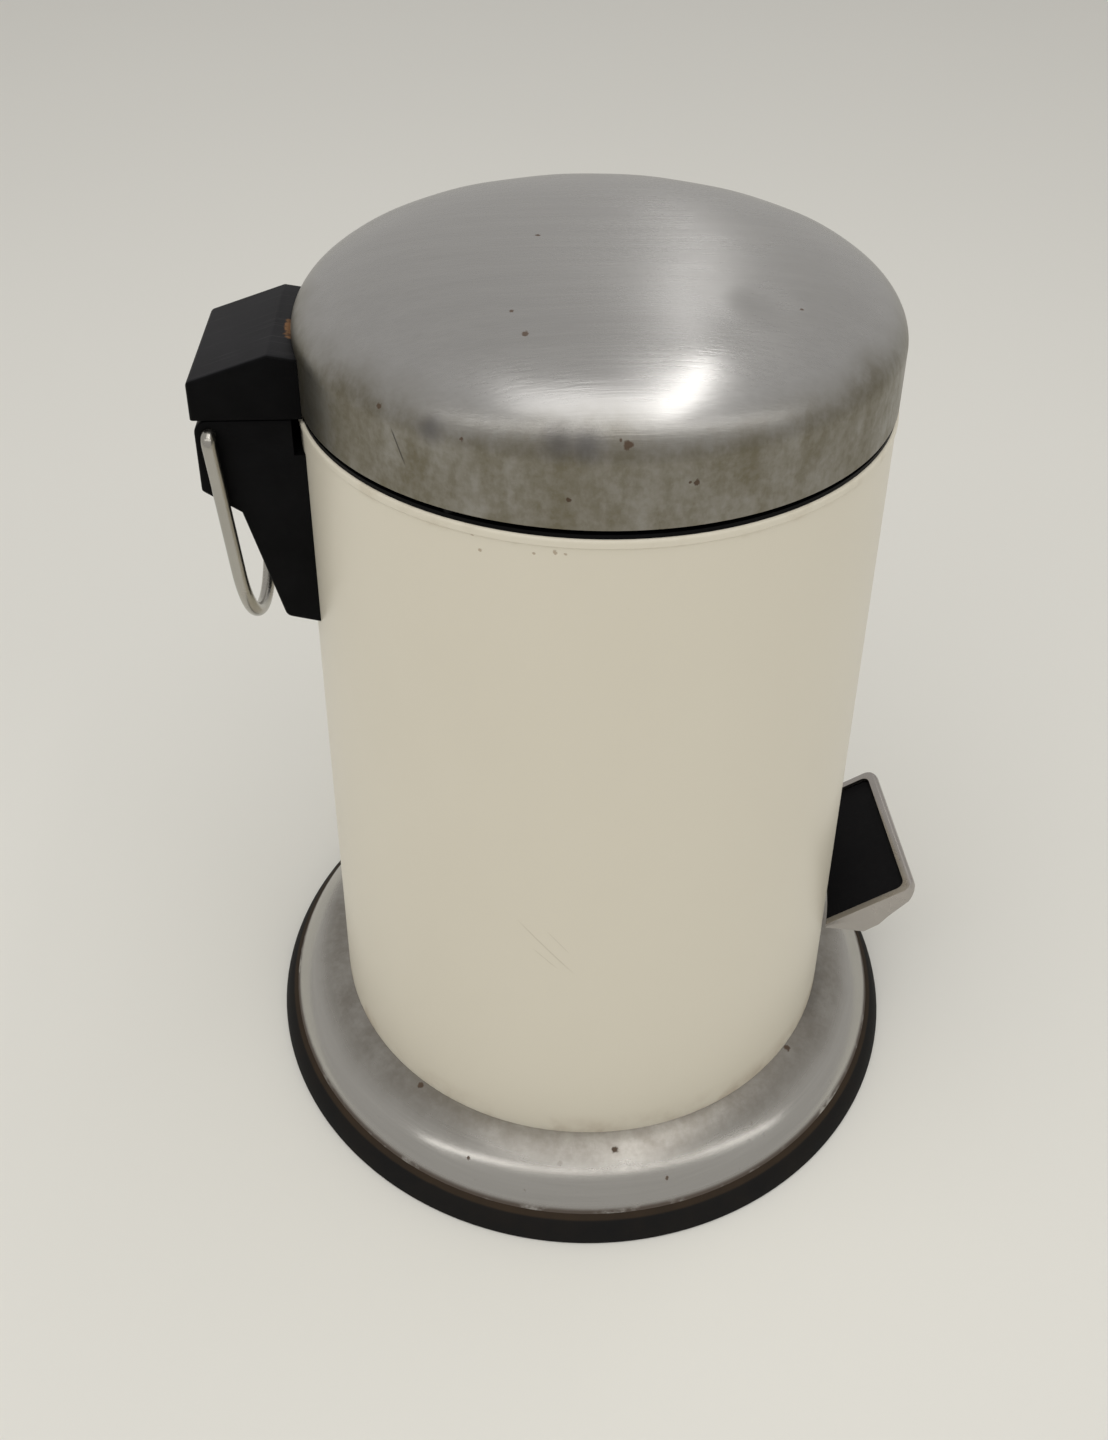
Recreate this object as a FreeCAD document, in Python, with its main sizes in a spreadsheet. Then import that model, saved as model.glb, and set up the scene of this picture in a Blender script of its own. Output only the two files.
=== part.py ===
import FreeCAD, Part
import math
import os
import Sketcher
from FreeCAD import Placement, Rotation, Vector

# Pedal trash can.  Millimetres, +Z up, origin on the floor at the can's axis.
# The pedal is at -Y, the hinge and the carry handle are at +Y.

SIZES = {
    # shell
    "body_radius": 85.0, "sheet_wall": 0.8, "shell_bottom": 16.0, "rim_top": 246.0,
    "bead_out": 0.4, "bead_in": 1.8, "bead_height": 2.8, "bead_round": 0.9,
    # base
    "skirt_top": 21.1, "skirt_edge_radius": 104.2, "skirt_edge_z": 7.9, "skirt_arc": 27.2,
    "skirt_arc_x": 80.67, "skirt_arc_z": -5.74,
    "ring_radius": 109.06, "ring_inner": 88.5, "ring_arc": 12.0, "ring_heel": 0.5,
    "ring_arc_x": 97.29, "ring_arc_z": -1.84,
    "pan_floor": 12.0, "pan_thick": 3.0, "pan_flange": 97.0, "upstand_top": 20.0,
    "screw_circle": 92.5, "screw_radius": 1.6, "screw_head": 3.25, "screw_sunk": 1.5,
    # pedal lever
    "pivot_z": 30.0, "pin_radius": 2.5, "hub_radius": 6.0, "hub_half": 9.5, "cheek_thick": 2.0,
    "lever_width": 14.0, "lever_half": 2.0, "lever_rear": 81.3, "lever_droop": 5.0,
    "slot_low": 24.0, "slot_high": 48.0, "slot_width": 18.0, "running_gap": 0.05,
    # pedal
    "tread_y": 82.0, "tread_z": 48.3, "tread_tilt": 30.7, "tray_half": 29.2, "tray_nose": 33.5,
    "tray_lip": 1.5, "tray_sheet": 1.2, "pad_half": 27.0, "pad_length": 30.2, "pad_depth": 2.6,
    "tray_corner": 4.5, "pad_corner": 2.8, "pedal_clear_radius": 86.3, "arm_plate": 2.6,
    "pedal_rivet": 2.0, "pedal_rivet_head": 3.5,
    # push rod
    "rod_radius": 2.0, "rod_y": 79.0, "rod_top_y": 96.0, "rod_bottom": 28.4, "rod_knee": 204.0,
    "rod_top": 231.0, "rod_bend": 8.0, "tip_top": 233.2, "tip_radius": 4.0, "foot_bottom": 25.4,
    "guide_low": 112.0, "guide_high": 122.0, "guide_half": 7.0, "guide_inner": 75.6,
    "window_low": 201.0, "window_high": 227.0, "window_width": 9.0,
    # collar and bucket
    "collar_inner": 76.0, "collar_outer": 82.9, "collar_top": 247.2, "collar_bottom": 236.0,
    "collar_flange": 84.6, "collar_wall": 1.2, "bumper_circle": 82.4, "bumper_radius": 2.1,
    "bumper_top": 248.3, "bucket_low": 52.0, "bucket_foot": 63.0, "bucket_mouth": 74.3,
    "bucket_wall": 1.6, "bucket_rim": 80.0, "bucket_rim_z": 247.25, "bail_radius": 71.0,
    "bail_wire": 1.5, "bail_z": 251.5, "bail_end": 79.4, "bail_bend": 4.0,
    # lid
    "lid_edge": 248.4, "lid_top": 290.1, "crown_arc": 862.88, "crown_tilt": 2.8148,
    "middle_arc": 75.25, "shoulder_tilt": 31.078, "shoulder_arc": 15.66, "hem_width": 1.8,
    "hem_height": 1.2,
    # hinge
    "hinge_y": 107.0, "hinge_z": 243.0, "hinge_pin": 2.0, "hinge_pin_half": 18.5,
    "knuckle": 4.0, "barrel_half": 13.5, "channel_half": 13.75, "bracket_half": 24.0,
    "cap_half": 24.15, "cap_bottom": 247.3, "cap_rear": 111.7, "cap_wall": 2.0,
    "cap_eave": 258.6, "cap_ridge_y": 89.5, "cap_ridge": 266.4, "cap_front": 264.3,
    "bracket_bottom": 178.45, "bracket_foot_y": 91.3, "bracket_foot": 181.9,
    "bracket_waist_y": 100.7, "bracket_waist": 217.7, "bracket_heel": 225.0,
    "toe_drop": 6.9, "toe_reach": 9.8, "toe_radius": 2.5, "toe_half": 4.0, "arm_half": 11.0,
    "strip_bottom": 247.6, "strip_thick": 1.8, "plate_top": 261.0, "lid_gap": 0.05,
    "rivet_z": 256.0, "rivet_side": 6.0, "rivet_radius": 1.5, "rivet_head": 2.75,
    "cap_screw_side": 7.5, "cap_screw_y": 97.0, "cap_screw_radius": 1.25,
    "bracket_screw_radius": 1.75, "bracket_screw_head": 3.5, "bracket_screw_turn": 10.85,
    # carry handle
    "handle_wire": 2.0, "handle_half": 26.5, "handle_depth": 69.7, "handle_lean": 5.2,
    "handle_bend": 2.4, "handle_end": 19.3,
}

doc = FreeCAD.newDocument("pedal_trash_can")
sheet = doc.addObject("Spreadsheet::Sheet", "Sizes")
for row, (alias, value) in enumerate(SIZES.items(), start=1):
    sheet.set(f"A{row}", alias)
    sheet.set(f"B{row}", str(value))
    sheet.setAlias(f"B{row}", alias)
doc.recompute()


class Size:
    """A length that carries its value and the sheet expression that gives it."""

    def __init__(self, value, text):
        self.value = value
        self.text = text

    @staticmethod
    def of(other):
        return other if isinstance(other, Size) else Size(float(other), f"({float(other)})")

    def __add__(self, other):
        other = Size.of(other)
        return Size(self.value + other.value, f"({self.text} + {other.text})")

    def __sub__(self, other):
        other = Size.of(other)
        return Size(self.value - other.value, f"({self.text} - {other.text})")

    def __mul__(self, other):
        other = Size.of(other)
        return Size(self.value * other.value, f"({self.text} * {other.text})")

    def __truediv__(self, other):
        other = Size.of(other)
        return Size(self.value / other.value, f"({self.text} / {other.text})")

    def __neg__(self):
        return Size(-self.value, f"(-1 * {self.text})")

    __radd__ = __add__
    __rmul__ = __mul__

    def sin(self):
        return Size(math.sin(math.radians(self.value)), f"sin({self.text} * 1 deg)")

    def cos(self):
        return Size(math.cos(math.radians(self.value)), f"cos({self.text} * 1 deg)")


class Cells:
    """Reads a driving dimension by its alias."""

    def __getattr__(self, alias):
        return Size(float(SIZES[alias]), f"Sizes.{alias}")


S = Cells()
ZERO = Size(0.0, "0")
ALONG = {
    "X": Rotation(Vector(0, 1, 0), 90),
    "Y": Rotation(Vector(1, 0, 0), -90),
    "Z": Rotation(),
}
finished = []


def bind(obj, prop, size):
    """Sets a property and binds it to its expression."""
    size = Size.of(size)
    setattr(obj, prop, size.value)
    obj.setExpression(prop, size.text)


def place(obj, at, rotation):
    """Puts an object at a point given in sizes."""
    at = [Size.of(value) for value in at]
    obj.Placement = Placement(Vector(*[value.value for value in at]), rotation)
    for letter, value in zip("xyz", at):
        obj.setExpression(f"Placement.Base.{letter}", value.text)


def cylinder(name, radius, length, at=(0, 0, 0), along="Z"):
    obj = doc.addObject("Part::Cylinder", name)
    bind(obj, "Radius", radius)
    bind(obj, "Height", length)
    place(obj, at, ALONG[along])
    return obj


def box(name, low, high):
    obj = doc.addObject("Part::Box", name)
    low = [Size.of(value) for value in low]
    high = [Size.of(value) for value in high]
    for prop, near, far in zip(("Length", "Width", "Height"), low, high):
        bind(obj, prop, far - near)
    place(obj, low, ALONG["Z"])
    return obj


def turned(name, parts, degrees):
    """Joins parts into one solid and turns it about the can's axis."""
    obj = fuse(name, *parts)
    obj.Placement = Placement(Vector(), Rotation(Vector(0, 0, 1), degrees))
    return obj


def fuse(name, *parts):
    """Joins parts into one shape; a single part is only wrapped, so that it can be placed."""
    if len(parts) == 1:
        return group(name, parts)
    obj = doc.addObject("Part::MultiFuse", name)
    obj.Shapes = list(parts)
    return obj


def common(name, base, tool):
    obj = doc.addObject("Part::Common", name)
    obj.Base = base
    obj.Tool = tool
    return obj


def cut(name, base, *tools):
    obj = doc.addObject("Part::Cut", name)
    obj.Base = base
    obj.Tool = tools[0] if len(tools) == 1 else fuse(f"{name}_tools", *tools)
    return obj


def group(name, parts):
    """Keeps identical fasteners together as separate solids."""
    obj = doc.addObject("Part::Compound", name)
    obj.Links = list(parts)
    return obj


def finish(obj):
    """Marks an object as a sub-part, labelled with its node's name."""
    obj.Label = obj.Name
    finished.append(obj)
    return obj


class Arc:
    """The edge from one outline point to the next, as an arc about a centre."""

    def __init__(self, centre_x, centre_y, radius):
        self.centre = Vector(Size.of(centre_x).value, Size.of(centre_y).value, 0)
        self.radius = radius

    def middle(self, start, end):
        out = (start + end) * 0.5 - self.centre
        return self.centre + out.normalize() * Size.of(self.radius).value


def sketch_on(body, role, name, points, closed=True, offset=None):
    """Draws an outline whose every corner is bound to the sheet.

    A point is (x, y) or (x, y, Arc), where the arc is the edge that leaves it.
    """
    plane = next(item for item in body.Origin.OriginFeatures if item.Role == role)
    sketch = body.newObject("Sketcher::SketchObject", name)
    sketch.AttachmentSupport = (plane, [""])
    sketch.MapMode = "FlatFace"
    if offset is not None:
        sketch.AttachmentOffset = Placement(Vector(0, 0, offset.value), Rotation())
        sketch.setExpression("AttachmentOffset.Base.z", offset.text)
    sized = [(Size.of(point[0]), Size.of(point[1])) for point in points]
    spots = [Vector(x.value, y.value, 0) for x, y in sized]
    arcs = [point[2] if len(point) > 2 else None for point in points]
    edges = len(points) if closed else len(points) - 1
    ends = []
    for index in range(edges):
        start = spots[index]
        end = spots[(index + 1) % len(spots)]
        if arcs[index] is None:
            sketch.addGeometry(Part.LineSegment(start, end), False)
            ends.append((1, 2))
            continue
        middle = arcs[index].middle(start, end)
        circle = Part.Arc(start, middle, end)
        sketch.addGeometry(circle, False)
        flipped = (sketch.getPoint(index, 1) - start).Length > (sketch.getPoint(index, 2) - start).Length
        ends.append((2, 1) if flipped else (1, 2))
    for index in range(edges if closed else edges - 1):
        after = (index + 1) % edges
        sketch.addConstraint(
            Sketcher.Constraint("Coincident", index, ends[index][1], after, ends[after][0]))
    for index, (x, y) in enumerate(sized):
        edge, end = (index, ends[index][0]) if index < edges else (edges - 1, ends[-1][1])
        pin_coordinate(sketch, "DistanceX", edge, end, x, -2)
        pin_coordinate(sketch, "DistanceY", edge, end, y, -1)
    for index, arc in enumerate(arcs[:edges]):
        if arc is not None:
            radius = Size.of(arc.radius)
            number = sketch.addConstraint(Sketcher.Constraint("Radius", index, radius.value))
            sketch.setExpression(f"Constraints[{number}]", radius.text)
    return sketch


def pin_coordinate(sketch, kind, edge, end, size, axis):
    """Holds one coordinate of an edge's end, on the axis itself where it is zero."""
    if size.value == 0.0:
        sketch.addConstraint(Sketcher.Constraint("PointOnObject", edge, end, axis))
        return
    number = sketch.addConstraint(Sketcher.Constraint(kind, -1, 1, edge, end, size.value))
    sketch.setExpression(f"Constraints[{number}]", size.text)


def new_body(name):
    body = doc.addObject("PartDesign::Body", name)
    doc.recompute()
    return body


def revolved(name, points):
    """A body turned about Z from an outline of (radius, height) points."""
    body = new_body(name)
    sketch = sketch_on(body, "XZ_Plane", f"{name}_outline", points)
    turn = body.newObject("PartDesign::Revolution", f"{name}_turn")
    turn.Profile = sketch
    turn.ReferenceAxis = (sketch, ["V_Axis"])
    turn.Angle = 360
    body.Tip = turn
    return body


def side_prism(name, points, half_width):
    """A body of an outline in Y and Z, padded equally to both sides along X."""
    body = new_body(name)
    sketch = sketch_on(body, "YZ_Plane", f"{name}_outline", points)
    pad = body.newObject("PartDesign::Pad", f"{name}_pad")
    pad.Profile = sketch
    pad.SideType = "Symmetric"
    bind(pad, "Length", half_width * 2)
    body.Tip = pad
    return body


def wire(name, role, profile_role, points, centre, radius, normal_offset):
    """A round wire along an open path of runs and tangent arcs."""
    body = new_body(name)
    path = sketch_on(body, role, f"{name}_path", points, closed=False)
    profile = sketch_on_circle(body, profile_role, f"{name}_section", centre, radius, normal_offset)
    pipe = body.newObject("PartDesign::AdditivePipe", f"{name}_pipe")
    pipe.Profile = profile
    pipe.Spine = (path, [f"Edge{number}" for number in range(1, len(points))])
    body.Tip = pipe
    return body


def sketch_on_circle(body, role, name, centre, radius, offset):
    plane = next(item for item in body.Origin.OriginFeatures if item.Role == role)
    sketch = body.newObject("Sketcher::SketchObject", name)
    sketch.AttachmentSupport = (plane, [""])
    sketch.MapMode = "FlatFace"
    sketch.AttachmentOffset = Placement(Vector(0, 0, offset.value), Rotation())
    sketch.setExpression("AttachmentOffset.Base.z", offset.text)
    x, y = (Size.of(value) for value in centre)
    spot = Vector(x.value, y.value, 0)
    sketch.addGeometry(Part.Circle(spot, Vector(0, 0, 1), radius.value), False)
    pin_coordinate(sketch, "DistanceX", 0, 3, x, -2)
    pin_coordinate(sketch, "DistanceY", 0, 3, y, -1)
    number = sketch.addConstraint(Sketcher.Constraint("Radius", 0, radius.value))
    sketch.setExpression(f"Constraints[{number}]", radius.text)
    return sketch


def rounded(body, name, radius, wanted):
    """Fillets the edges of a body's tip that the test picks."""
    doc.recompute()
    base = body.Tip
    edges = [f"Edge{number}" for number, edge in enumerate(base.Shape.Edges, start=1) if wanted(edge)]
    fillet = body.newObject("PartDesign::Fillet", name)
    fillet.Base = (base, edges)
    fillet.Radius = radius
    body.Tip = fillet


def at_side(half_width, keep):
    """Picks the outline edges that lie in either side face."""
    def wanted(edge):
        box_of = edge.BoundBox
        flat = box_of.XLength < 0.01 and abs(abs(box_of.XMin) - half_width.value) < 0.01
        return flat and keep(box_of)
    return wanted


def corner_at(y, z):
    """Picks the edges along X that pass a point in Y and Z."""
    def wanted(edge):
        box_of = edge.BoundBox
        near = abs(box_of.YMin - y) < 0.05 and abs(box_of.ZMin - z) < 0.05
        return near and box_of.XLength > 1 and box_of.YLength < 0.01
    return wanted


def make_shell():
    """The painted steel cylinder with its rolled rim."""
    inner = S.body_radius - S.sheet_wall
    bead_low = S.rim_top - S.bead_height
    outer_bead = S.body_radius + S.bead_out
    inner_bead = S.body_radius - S.bead_in
    round_low = S.rim_top - S.bead_round
    wall = revolved("shell_wall", [
        (inner, S.shell_bottom),
        (S.body_radius, S.shell_bottom),
        (S.body_radius, bead_low),
        (outer_bead, bead_low + 0.6),
        (outer_bead, round_low, Arc(outer_bead - S.bead_round, round_low, S.bead_round)),
        (outer_bead - S.bead_round, S.rim_top),
        (inner_bead + 0.7, S.rim_top, Arc(inner_bead + 0.7, S.rim_top - 0.7, 0.7)),
        (inner_bead, S.rim_top - 0.7),
        (inner_bead, bead_low + 0.6),
        (inner, bead_low),
    ])
    slot = box("pedal_slot", (-S.slot_width / 2, -S.body_radius - 3, S.slot_low),
               (S.slot_width / 2, -S.body_radius + 12, S.slot_high))
    window = box("rod_window", (-S.window_width / 2, S.body_radius - 5, S.window_low),
                 (S.window_width / 2, S.body_radius + 3, S.window_high))
    holes = [screw_shank(f"shell_hole_{index}", turn, z)
             for index, (turn, z, _) in enumerate(BRACKET_SCREWS)]
    return finish(cut("body_shell", wall, slot, window, *holes))


# turn about Z from +Y, height, and depth of each screw that holds the hinge bracket
BRACKET_SCREWS = (
    (-SIZES["bracket_screw_turn"], 222.0, 8.0),
    (SIZES["bracket_screw_turn"], 222.0, 8.0),
    (0.0, 190.0, 6.5),
)


def screw_shank(name, turn, z, depth=8.0, start=-1.0):
    inner = S.body_radius - S.sheet_wall
    shank = cylinder(f"{name}_rod", S.bracket_screw_radius, Size.of(depth - start),
                     (0, inner + start, z), "Y")
    return turned(name, [shank], turn)


def make_base():
    """Skirt, foot ring, pan and the screws that hold them together."""
    wall = S.sheet_wall
    top_radius = S.body_radius + 0.05
    centre = (S.skirt_arc_x, S.skirt_arc_z)
    finish(revolved("base_skirt", [
        (top_radius, S.skirt_top, Arc(*centre, S.skirt_arc)),
        (S.skirt_edge_radius, S.skirt_edge_z),
        (S.skirt_edge_radius - 0.93, S.skirt_edge_z, Arc(*centre, S.skirt_arc - wall)),
        (top_radius, S.skirt_top - wall),
    ]))
    shoulder = S.skirt_edge_radius + 0.1
    ring = revolved("ring_solid", [
        (S.ring_inner, 0),
        (S.ring_radius - S.ring_heel, 0, Arc(S.ring_radius - S.ring_heel, S.ring_heel, S.ring_heel)),
        (S.ring_radius, S.ring_heel, Arc(S.ring_arc_x, S.ring_arc_z, S.ring_arc)),
        (shoulder, S.skirt_edge_z),
        (S.ring_inner, S.skirt_edge_z),
    ])
    pan_top = S.pan_floor + S.pan_thick
    inner = S.body_radius - S.sheet_wall - 0.05
    pan = revolved("pan_solid", [
        (0, S.pan_floor),
        (inner - 1.1, S.pan_floor),
        (inner + 2.8, S.skirt_edge_z),
        (S.pan_flange, S.skirt_edge_z),
        (S.pan_flange, S.skirt_edge_z + 2.5),
        (inner + 4.2, S.skirt_edge_z + 2.5),
        (inner + 2.0, S.pan_floor + 0.8),
        (inner + 2.0, S.shell_bottom),
        (inner, S.shell_bottom),
        (inner, S.upstand_top),
        (inner - 1.9, S.upstand_top),
        (inner - 1.9, pan_top),
        (0, pan_top),
    ])
    screws = []
    ring_holes = []
    pan_holes = []
    head_high = 2.0
    for index in range(4):
        turn = 45 + 90 * index
        at = (0, S.screw_circle, S.screw_sunk)
        head = cylinder(f"screw_head_{index}", S.screw_head, head_high, at)
        shank = cylinder(f"screw_shank_{index}", S.screw_radius, S.skirt_edge_z + 2.5 - S.screw_sunk, at)
        screws.append(turned(f"screw_{index}", [head, shank], turn))
        sink = cylinder(f"ring_sink_{index}", S.screw_head + 0.25, S.screw_sunk + head_high,
                        (0, S.screw_circle, 0))
        bore = cylinder(f"ring_bore_{index}", S.screw_radius, 30, (0, S.screw_circle, 0))
        ring_holes.append(turned(f"ring_hole_{index}", [sink, bore], turn))
        pan_bore = cylinder(f"pan_bore_{index}", S.screw_radius, 30, (0, S.screw_circle, 0))
        pan_holes.append(turned(f"pan_hole_{index}", [pan_bore], turn))
    finish(cut("foot_ring", ring, *ring_holes))
    finish(group("base_screws", screws))
    return pan, pan_holes, pan_top


def make_pivot(pan, pan_holes, pan_top):
    """The bracket and pin that the pedal lever rocks on, riveted to the pan."""
    cheek_in = S.hub_half + 0.5
    cheek_out = cheek_in + S.cheek_thick
    plate_top = pan_top + 1.5
    reach = Size.of(18.0)
    plate = box("pivot_plate", (-reach, -11, pan_top), (reach, 11, plate_top))
    cheeks = []
    for side in (-1, 1):
        low_x = cheek_in if side > 0 else -cheek_out
        high_x = cheek_out if side > 0 else -cheek_in
        tag = "right" if side > 0 else "left"
        cheeks.append(box(f"cheek_{tag}", (low_x, -6, pan_top), (high_x, 6, S.pivot_z)))
        cheeks.append(cylinder(f"cheek_top_{tag}", 6, S.cheek_thick, (low_x, 0, S.pivot_z), "X"))
    bore = cylinder("pivot_bore", S.pin_radius, cheek_out * 2 + 4, (-cheek_out - 2, 0, S.pivot_z), "X")
    rivets = []
    plate_holes = []
    spots = [(x, y) for x in (-15, 15) for y in (-7, 7)]
    for index, (x, y) in enumerate(spots):
        shank = cylinder(f"pivot_rivet_shank_{index}", 1.5, plate_top - S.pan_floor, (x, y, S.pan_floor))
        foot = cylinder(f"pivot_rivet_foot_{index}", 2.4, 1.0, (x, y, S.pan_floor - 1.0))
        head = cylinder(f"pivot_rivet_head_{index}", 2.4, 1.0, (x, y, plate_top))
        rivets.append(fuse(f"pivot_rivet_{index}", shank, foot, head))
        plate_holes.append(cylinder(f"pivot_rivet_hole_{index}", 1.5, 20, (x, y, S.pan_floor - 4)))
    rivet_holes = fuse("pivot_rivet_holes", *plate_holes)
    finish(cut("base_pan", pan, rivet_holes, *pan_holes))
    finish(cut("pivot_bracket", fuse("pivot_blank", plate, *cheeks), bore, rivet_holes))
    finish(group("pivot_rivets", rivets))
    pin = cylinder("pin_rod", S.pin_radius, cheek_out * 2, (-cheek_out, 0, S.pivot_z), "X")
    heads = [cylinder(f"pin_head_{index}", S.pin_radius + 1.2, 1.2, (x, 0, S.pivot_z), "X")
             for index, x in enumerate((-cheek_out - 1.2, cheek_out))]
    finish(fuse("pedal_pin", pin, *heads))


def tread(u, w):
    """A point of the pedal in Y and Z, u outward along the tread and w above it."""
    sine = S.tread_tilt.sin()
    cosine = S.tread_tilt.cos()
    y = S.tread_y + cosine * u - sine * w
    z = S.tread_z + sine * u + cosine * w
    return -y, z


def on_tread(w):
    """Where a piece drawn flat, outward along -Y, lies at height w above the tread."""
    return (0, *tread(0, w)), Rotation(Vector(1, 0, 0), -SIZES["tread_tilt"])


def round_nosed(name, half, reach, corner, height):
    """A flat block that reaches to -Y and is rounded at its two outer corners."""
    body = new_body(name)
    sketch = sketch_on(body, "XY_Plane", f"{name}_outline", [
        (half, 12),
        (-half, 12),
        (-half, -reach + corner, Arc(-half + corner, -reach + corner, corner)),
        (-half + corner, -reach),
        (half - corner, -reach, Arc(half - corner, -reach + corner, corner)),
        (half, -reach + corner),
    ])
    pad = body.newObject("PartDesign::Pad", f"{name}_pad")
    pad.Profile = sketch
    bind(pad, "Length", height)
    body.Tip = pad
    return body


def make_pedal():
    """The pressed steel tray, its rubber pad, the lever and the rivets between them."""
    sheet_low = -S.pad_depth - S.tray_sheet
    tray = side_prism("tray_solid", [
        (6, S.tray_lip),
        (-S.tray_nose + 1.5, S.tray_lip, Arc(-S.tray_nose + 1.5, S.tray_lip - 1.5, 1.5)),
        (-S.tray_nose, S.tray_lip - 1.5),
        (-S.tray_nose + 0.3, -1.1),
        (-28.8, -4.05),
        (-20.2, -6.75),
        (-15.5, -8.75),
        (-9.7, -9.0),
        (0.2, -0.2),
        (6, -0.2),
    ], S.tray_half)
    place(tray, *on_tread(0))
    plan = round_nosed("tray_plan", S.tray_half, S.tray_nose, S.tray_corner, 40)
    place(plan, *on_tread(-20))
    recess = round_nosed("tray_recess", S.pad_half, S.pad_length, S.pad_corner, 12)
    place(recess, (0, 0, -S.pad_depth), ALONG["Z"])
    under_half = S.tray_half - S.tray_sheet
    under = box("tray_under", (-under_half, -31, -14), (under_half, 12, sheet_low))
    hollow = fuse("tray_hollow", recess, under)
    place(hollow, *on_tread(0))
    clear = cylinder("pedal_clear", S.pedal_clear_radius, 80, (0, 0, 20))
    rivets = []
    holes = []
    for index, u in enumerate((10, 19)):
        low = sheet_low - S.arm_plate
        shank = cylinder(f"pedal_rivet_shank_{index}", S.pedal_rivet, -low - S.pad_depth, (0, -u, low))
        head = cylinder(f"pedal_rivet_head_{index}", S.pedal_rivet_head, 1.4, (0, -u, low - 1.4))
        rivet = fuse(f"pedal_rivet_{index}", shank, head)
        place(rivet, *on_tread(0))
        rivets.append(rivet)
        hole = fuse(f"pedal_rivet_hole_{index}",
                    cylinder(f"pedal_rivet_bore_{index}", S.pedal_rivet, 12, (0, -u, -14)))
        place(hole, *on_tread(0))
        holes.append(hole)
    floor_holes = fuse("pedal_rivet_holes", *holes)
    finish(cut("pedal_tray", common("tray_blank", tray, plan), hollow, clear, floor_holes))
    pad = round_nosed("pad_block", S.pad_half - 0.1, S.pad_length - 0.1, S.pad_corner, S.pad_depth)
    place(pad, *on_tread(-S.pad_depth))
    finish(cut("pedal_pad", pad, clear))
    finish(group("pedal_rivets", rivets))

    droop = S.lever_droop
    drop = S.lever_rear * droop.sin() / droop.cos()
    half = S.lever_half / droop.cos()
    plate_low = sheet_low - S.arm_plate
    lever = side_prism("lever_bar", [
        (S.lever_rear, S.pivot_z - drop + half),
        (0, S.pivot_z + half),
        tread(3, sheet_low),
        tread(24, sheet_low),
        tread(24, plate_low),
        tread(6, plate_low),
        (-88, 41.5),
        (0, S.pivot_z - half),
        (S.lever_rear, S.pivot_z - drop - half),
    ], S.lever_width / 2)
    hub = cylinder("lever_hub", S.hub_radius, S.hub_half * 2, (-S.hub_half, 0, S.pivot_z), "X")
    bore = cylinder("lever_bore", S.pin_radius + S.running_gap, 40, (-20, 0, S.pivot_z), "X")
    finish(cut("pedal_arm", fuse("lever_blank", lever, hub), bore, floor_holes))


def make_rod():
    """The cranked push rod, its tip and foot, and the guide in the shell."""
    bend = S.rod_bend
    back = bend * (1 - math.sqrt(0.5))
    along = bend * math.sqrt(0.5)
    tangent = bend * math.tan(math.radians(22.5))
    rise = S.rod_top_y - S.rod_y
    knee_start = S.rod_knee - tangent
    knee_end = (S.rod_y + back, knee_start + along)
    top_knee = S.rod_knee + rise + tangent
    top_start = (S.rod_top_y - back, top_knee - along)
    points = [
        (S.rod_y, S.rod_bottom),
        (S.rod_y, knee_start, Arc(S.rod_y + bend, knee_start, bend)),
        knee_end,
        (top_start[0], top_start[1], Arc(S.rod_top_y - bend, top_knee, bend)),
        (S.rod_top_y, top_knee),
        (S.rod_top_y, S.rod_top),
    ]
    finish(wire("push_rod", "YZ_Plane", "XY_Plane", points, (0, S.rod_y), S.rod_radius, S.rod_bottom))
    tip = cylinder("tip_blank", S.tip_radius, S.tip_top - S.rod_top + 3, (0, S.rod_top_y, S.rod_top - 3))
    socket = cylinder("tip_socket", S.rod_radius, 3, (0, S.rod_top_y, S.rod_top - 3))
    finish(cut("rod_tip", tip, socket))
    foot = cylinder("foot_blank", S.rod_radius + 1.2, 8, (0, S.rod_y, S.foot_bottom))
    foot_socket = cylinder("foot_socket", S.rod_radius, 8, (0, S.rod_y, S.rod_bottom))
    finish(cut("rod_foot", foot, foot_socket))
    block = box("guide_block", (-S.guide_half, S.guide_inner, S.guide_low),
                (S.guide_half, S.body_radius, S.guide_high))
    inside = cylinder("guide_inside", S.body_radius - S.sheet_wall, 40, (0, 0, S.guide_low - 10))
    bore = cylinder("guide_bore", S.rod_radius + S.running_gap, 40, (0, S.rod_y, S.guide_low - 10))
    finish(cut("rod_guide", common("guide_blank", block, inside), bore))


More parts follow.
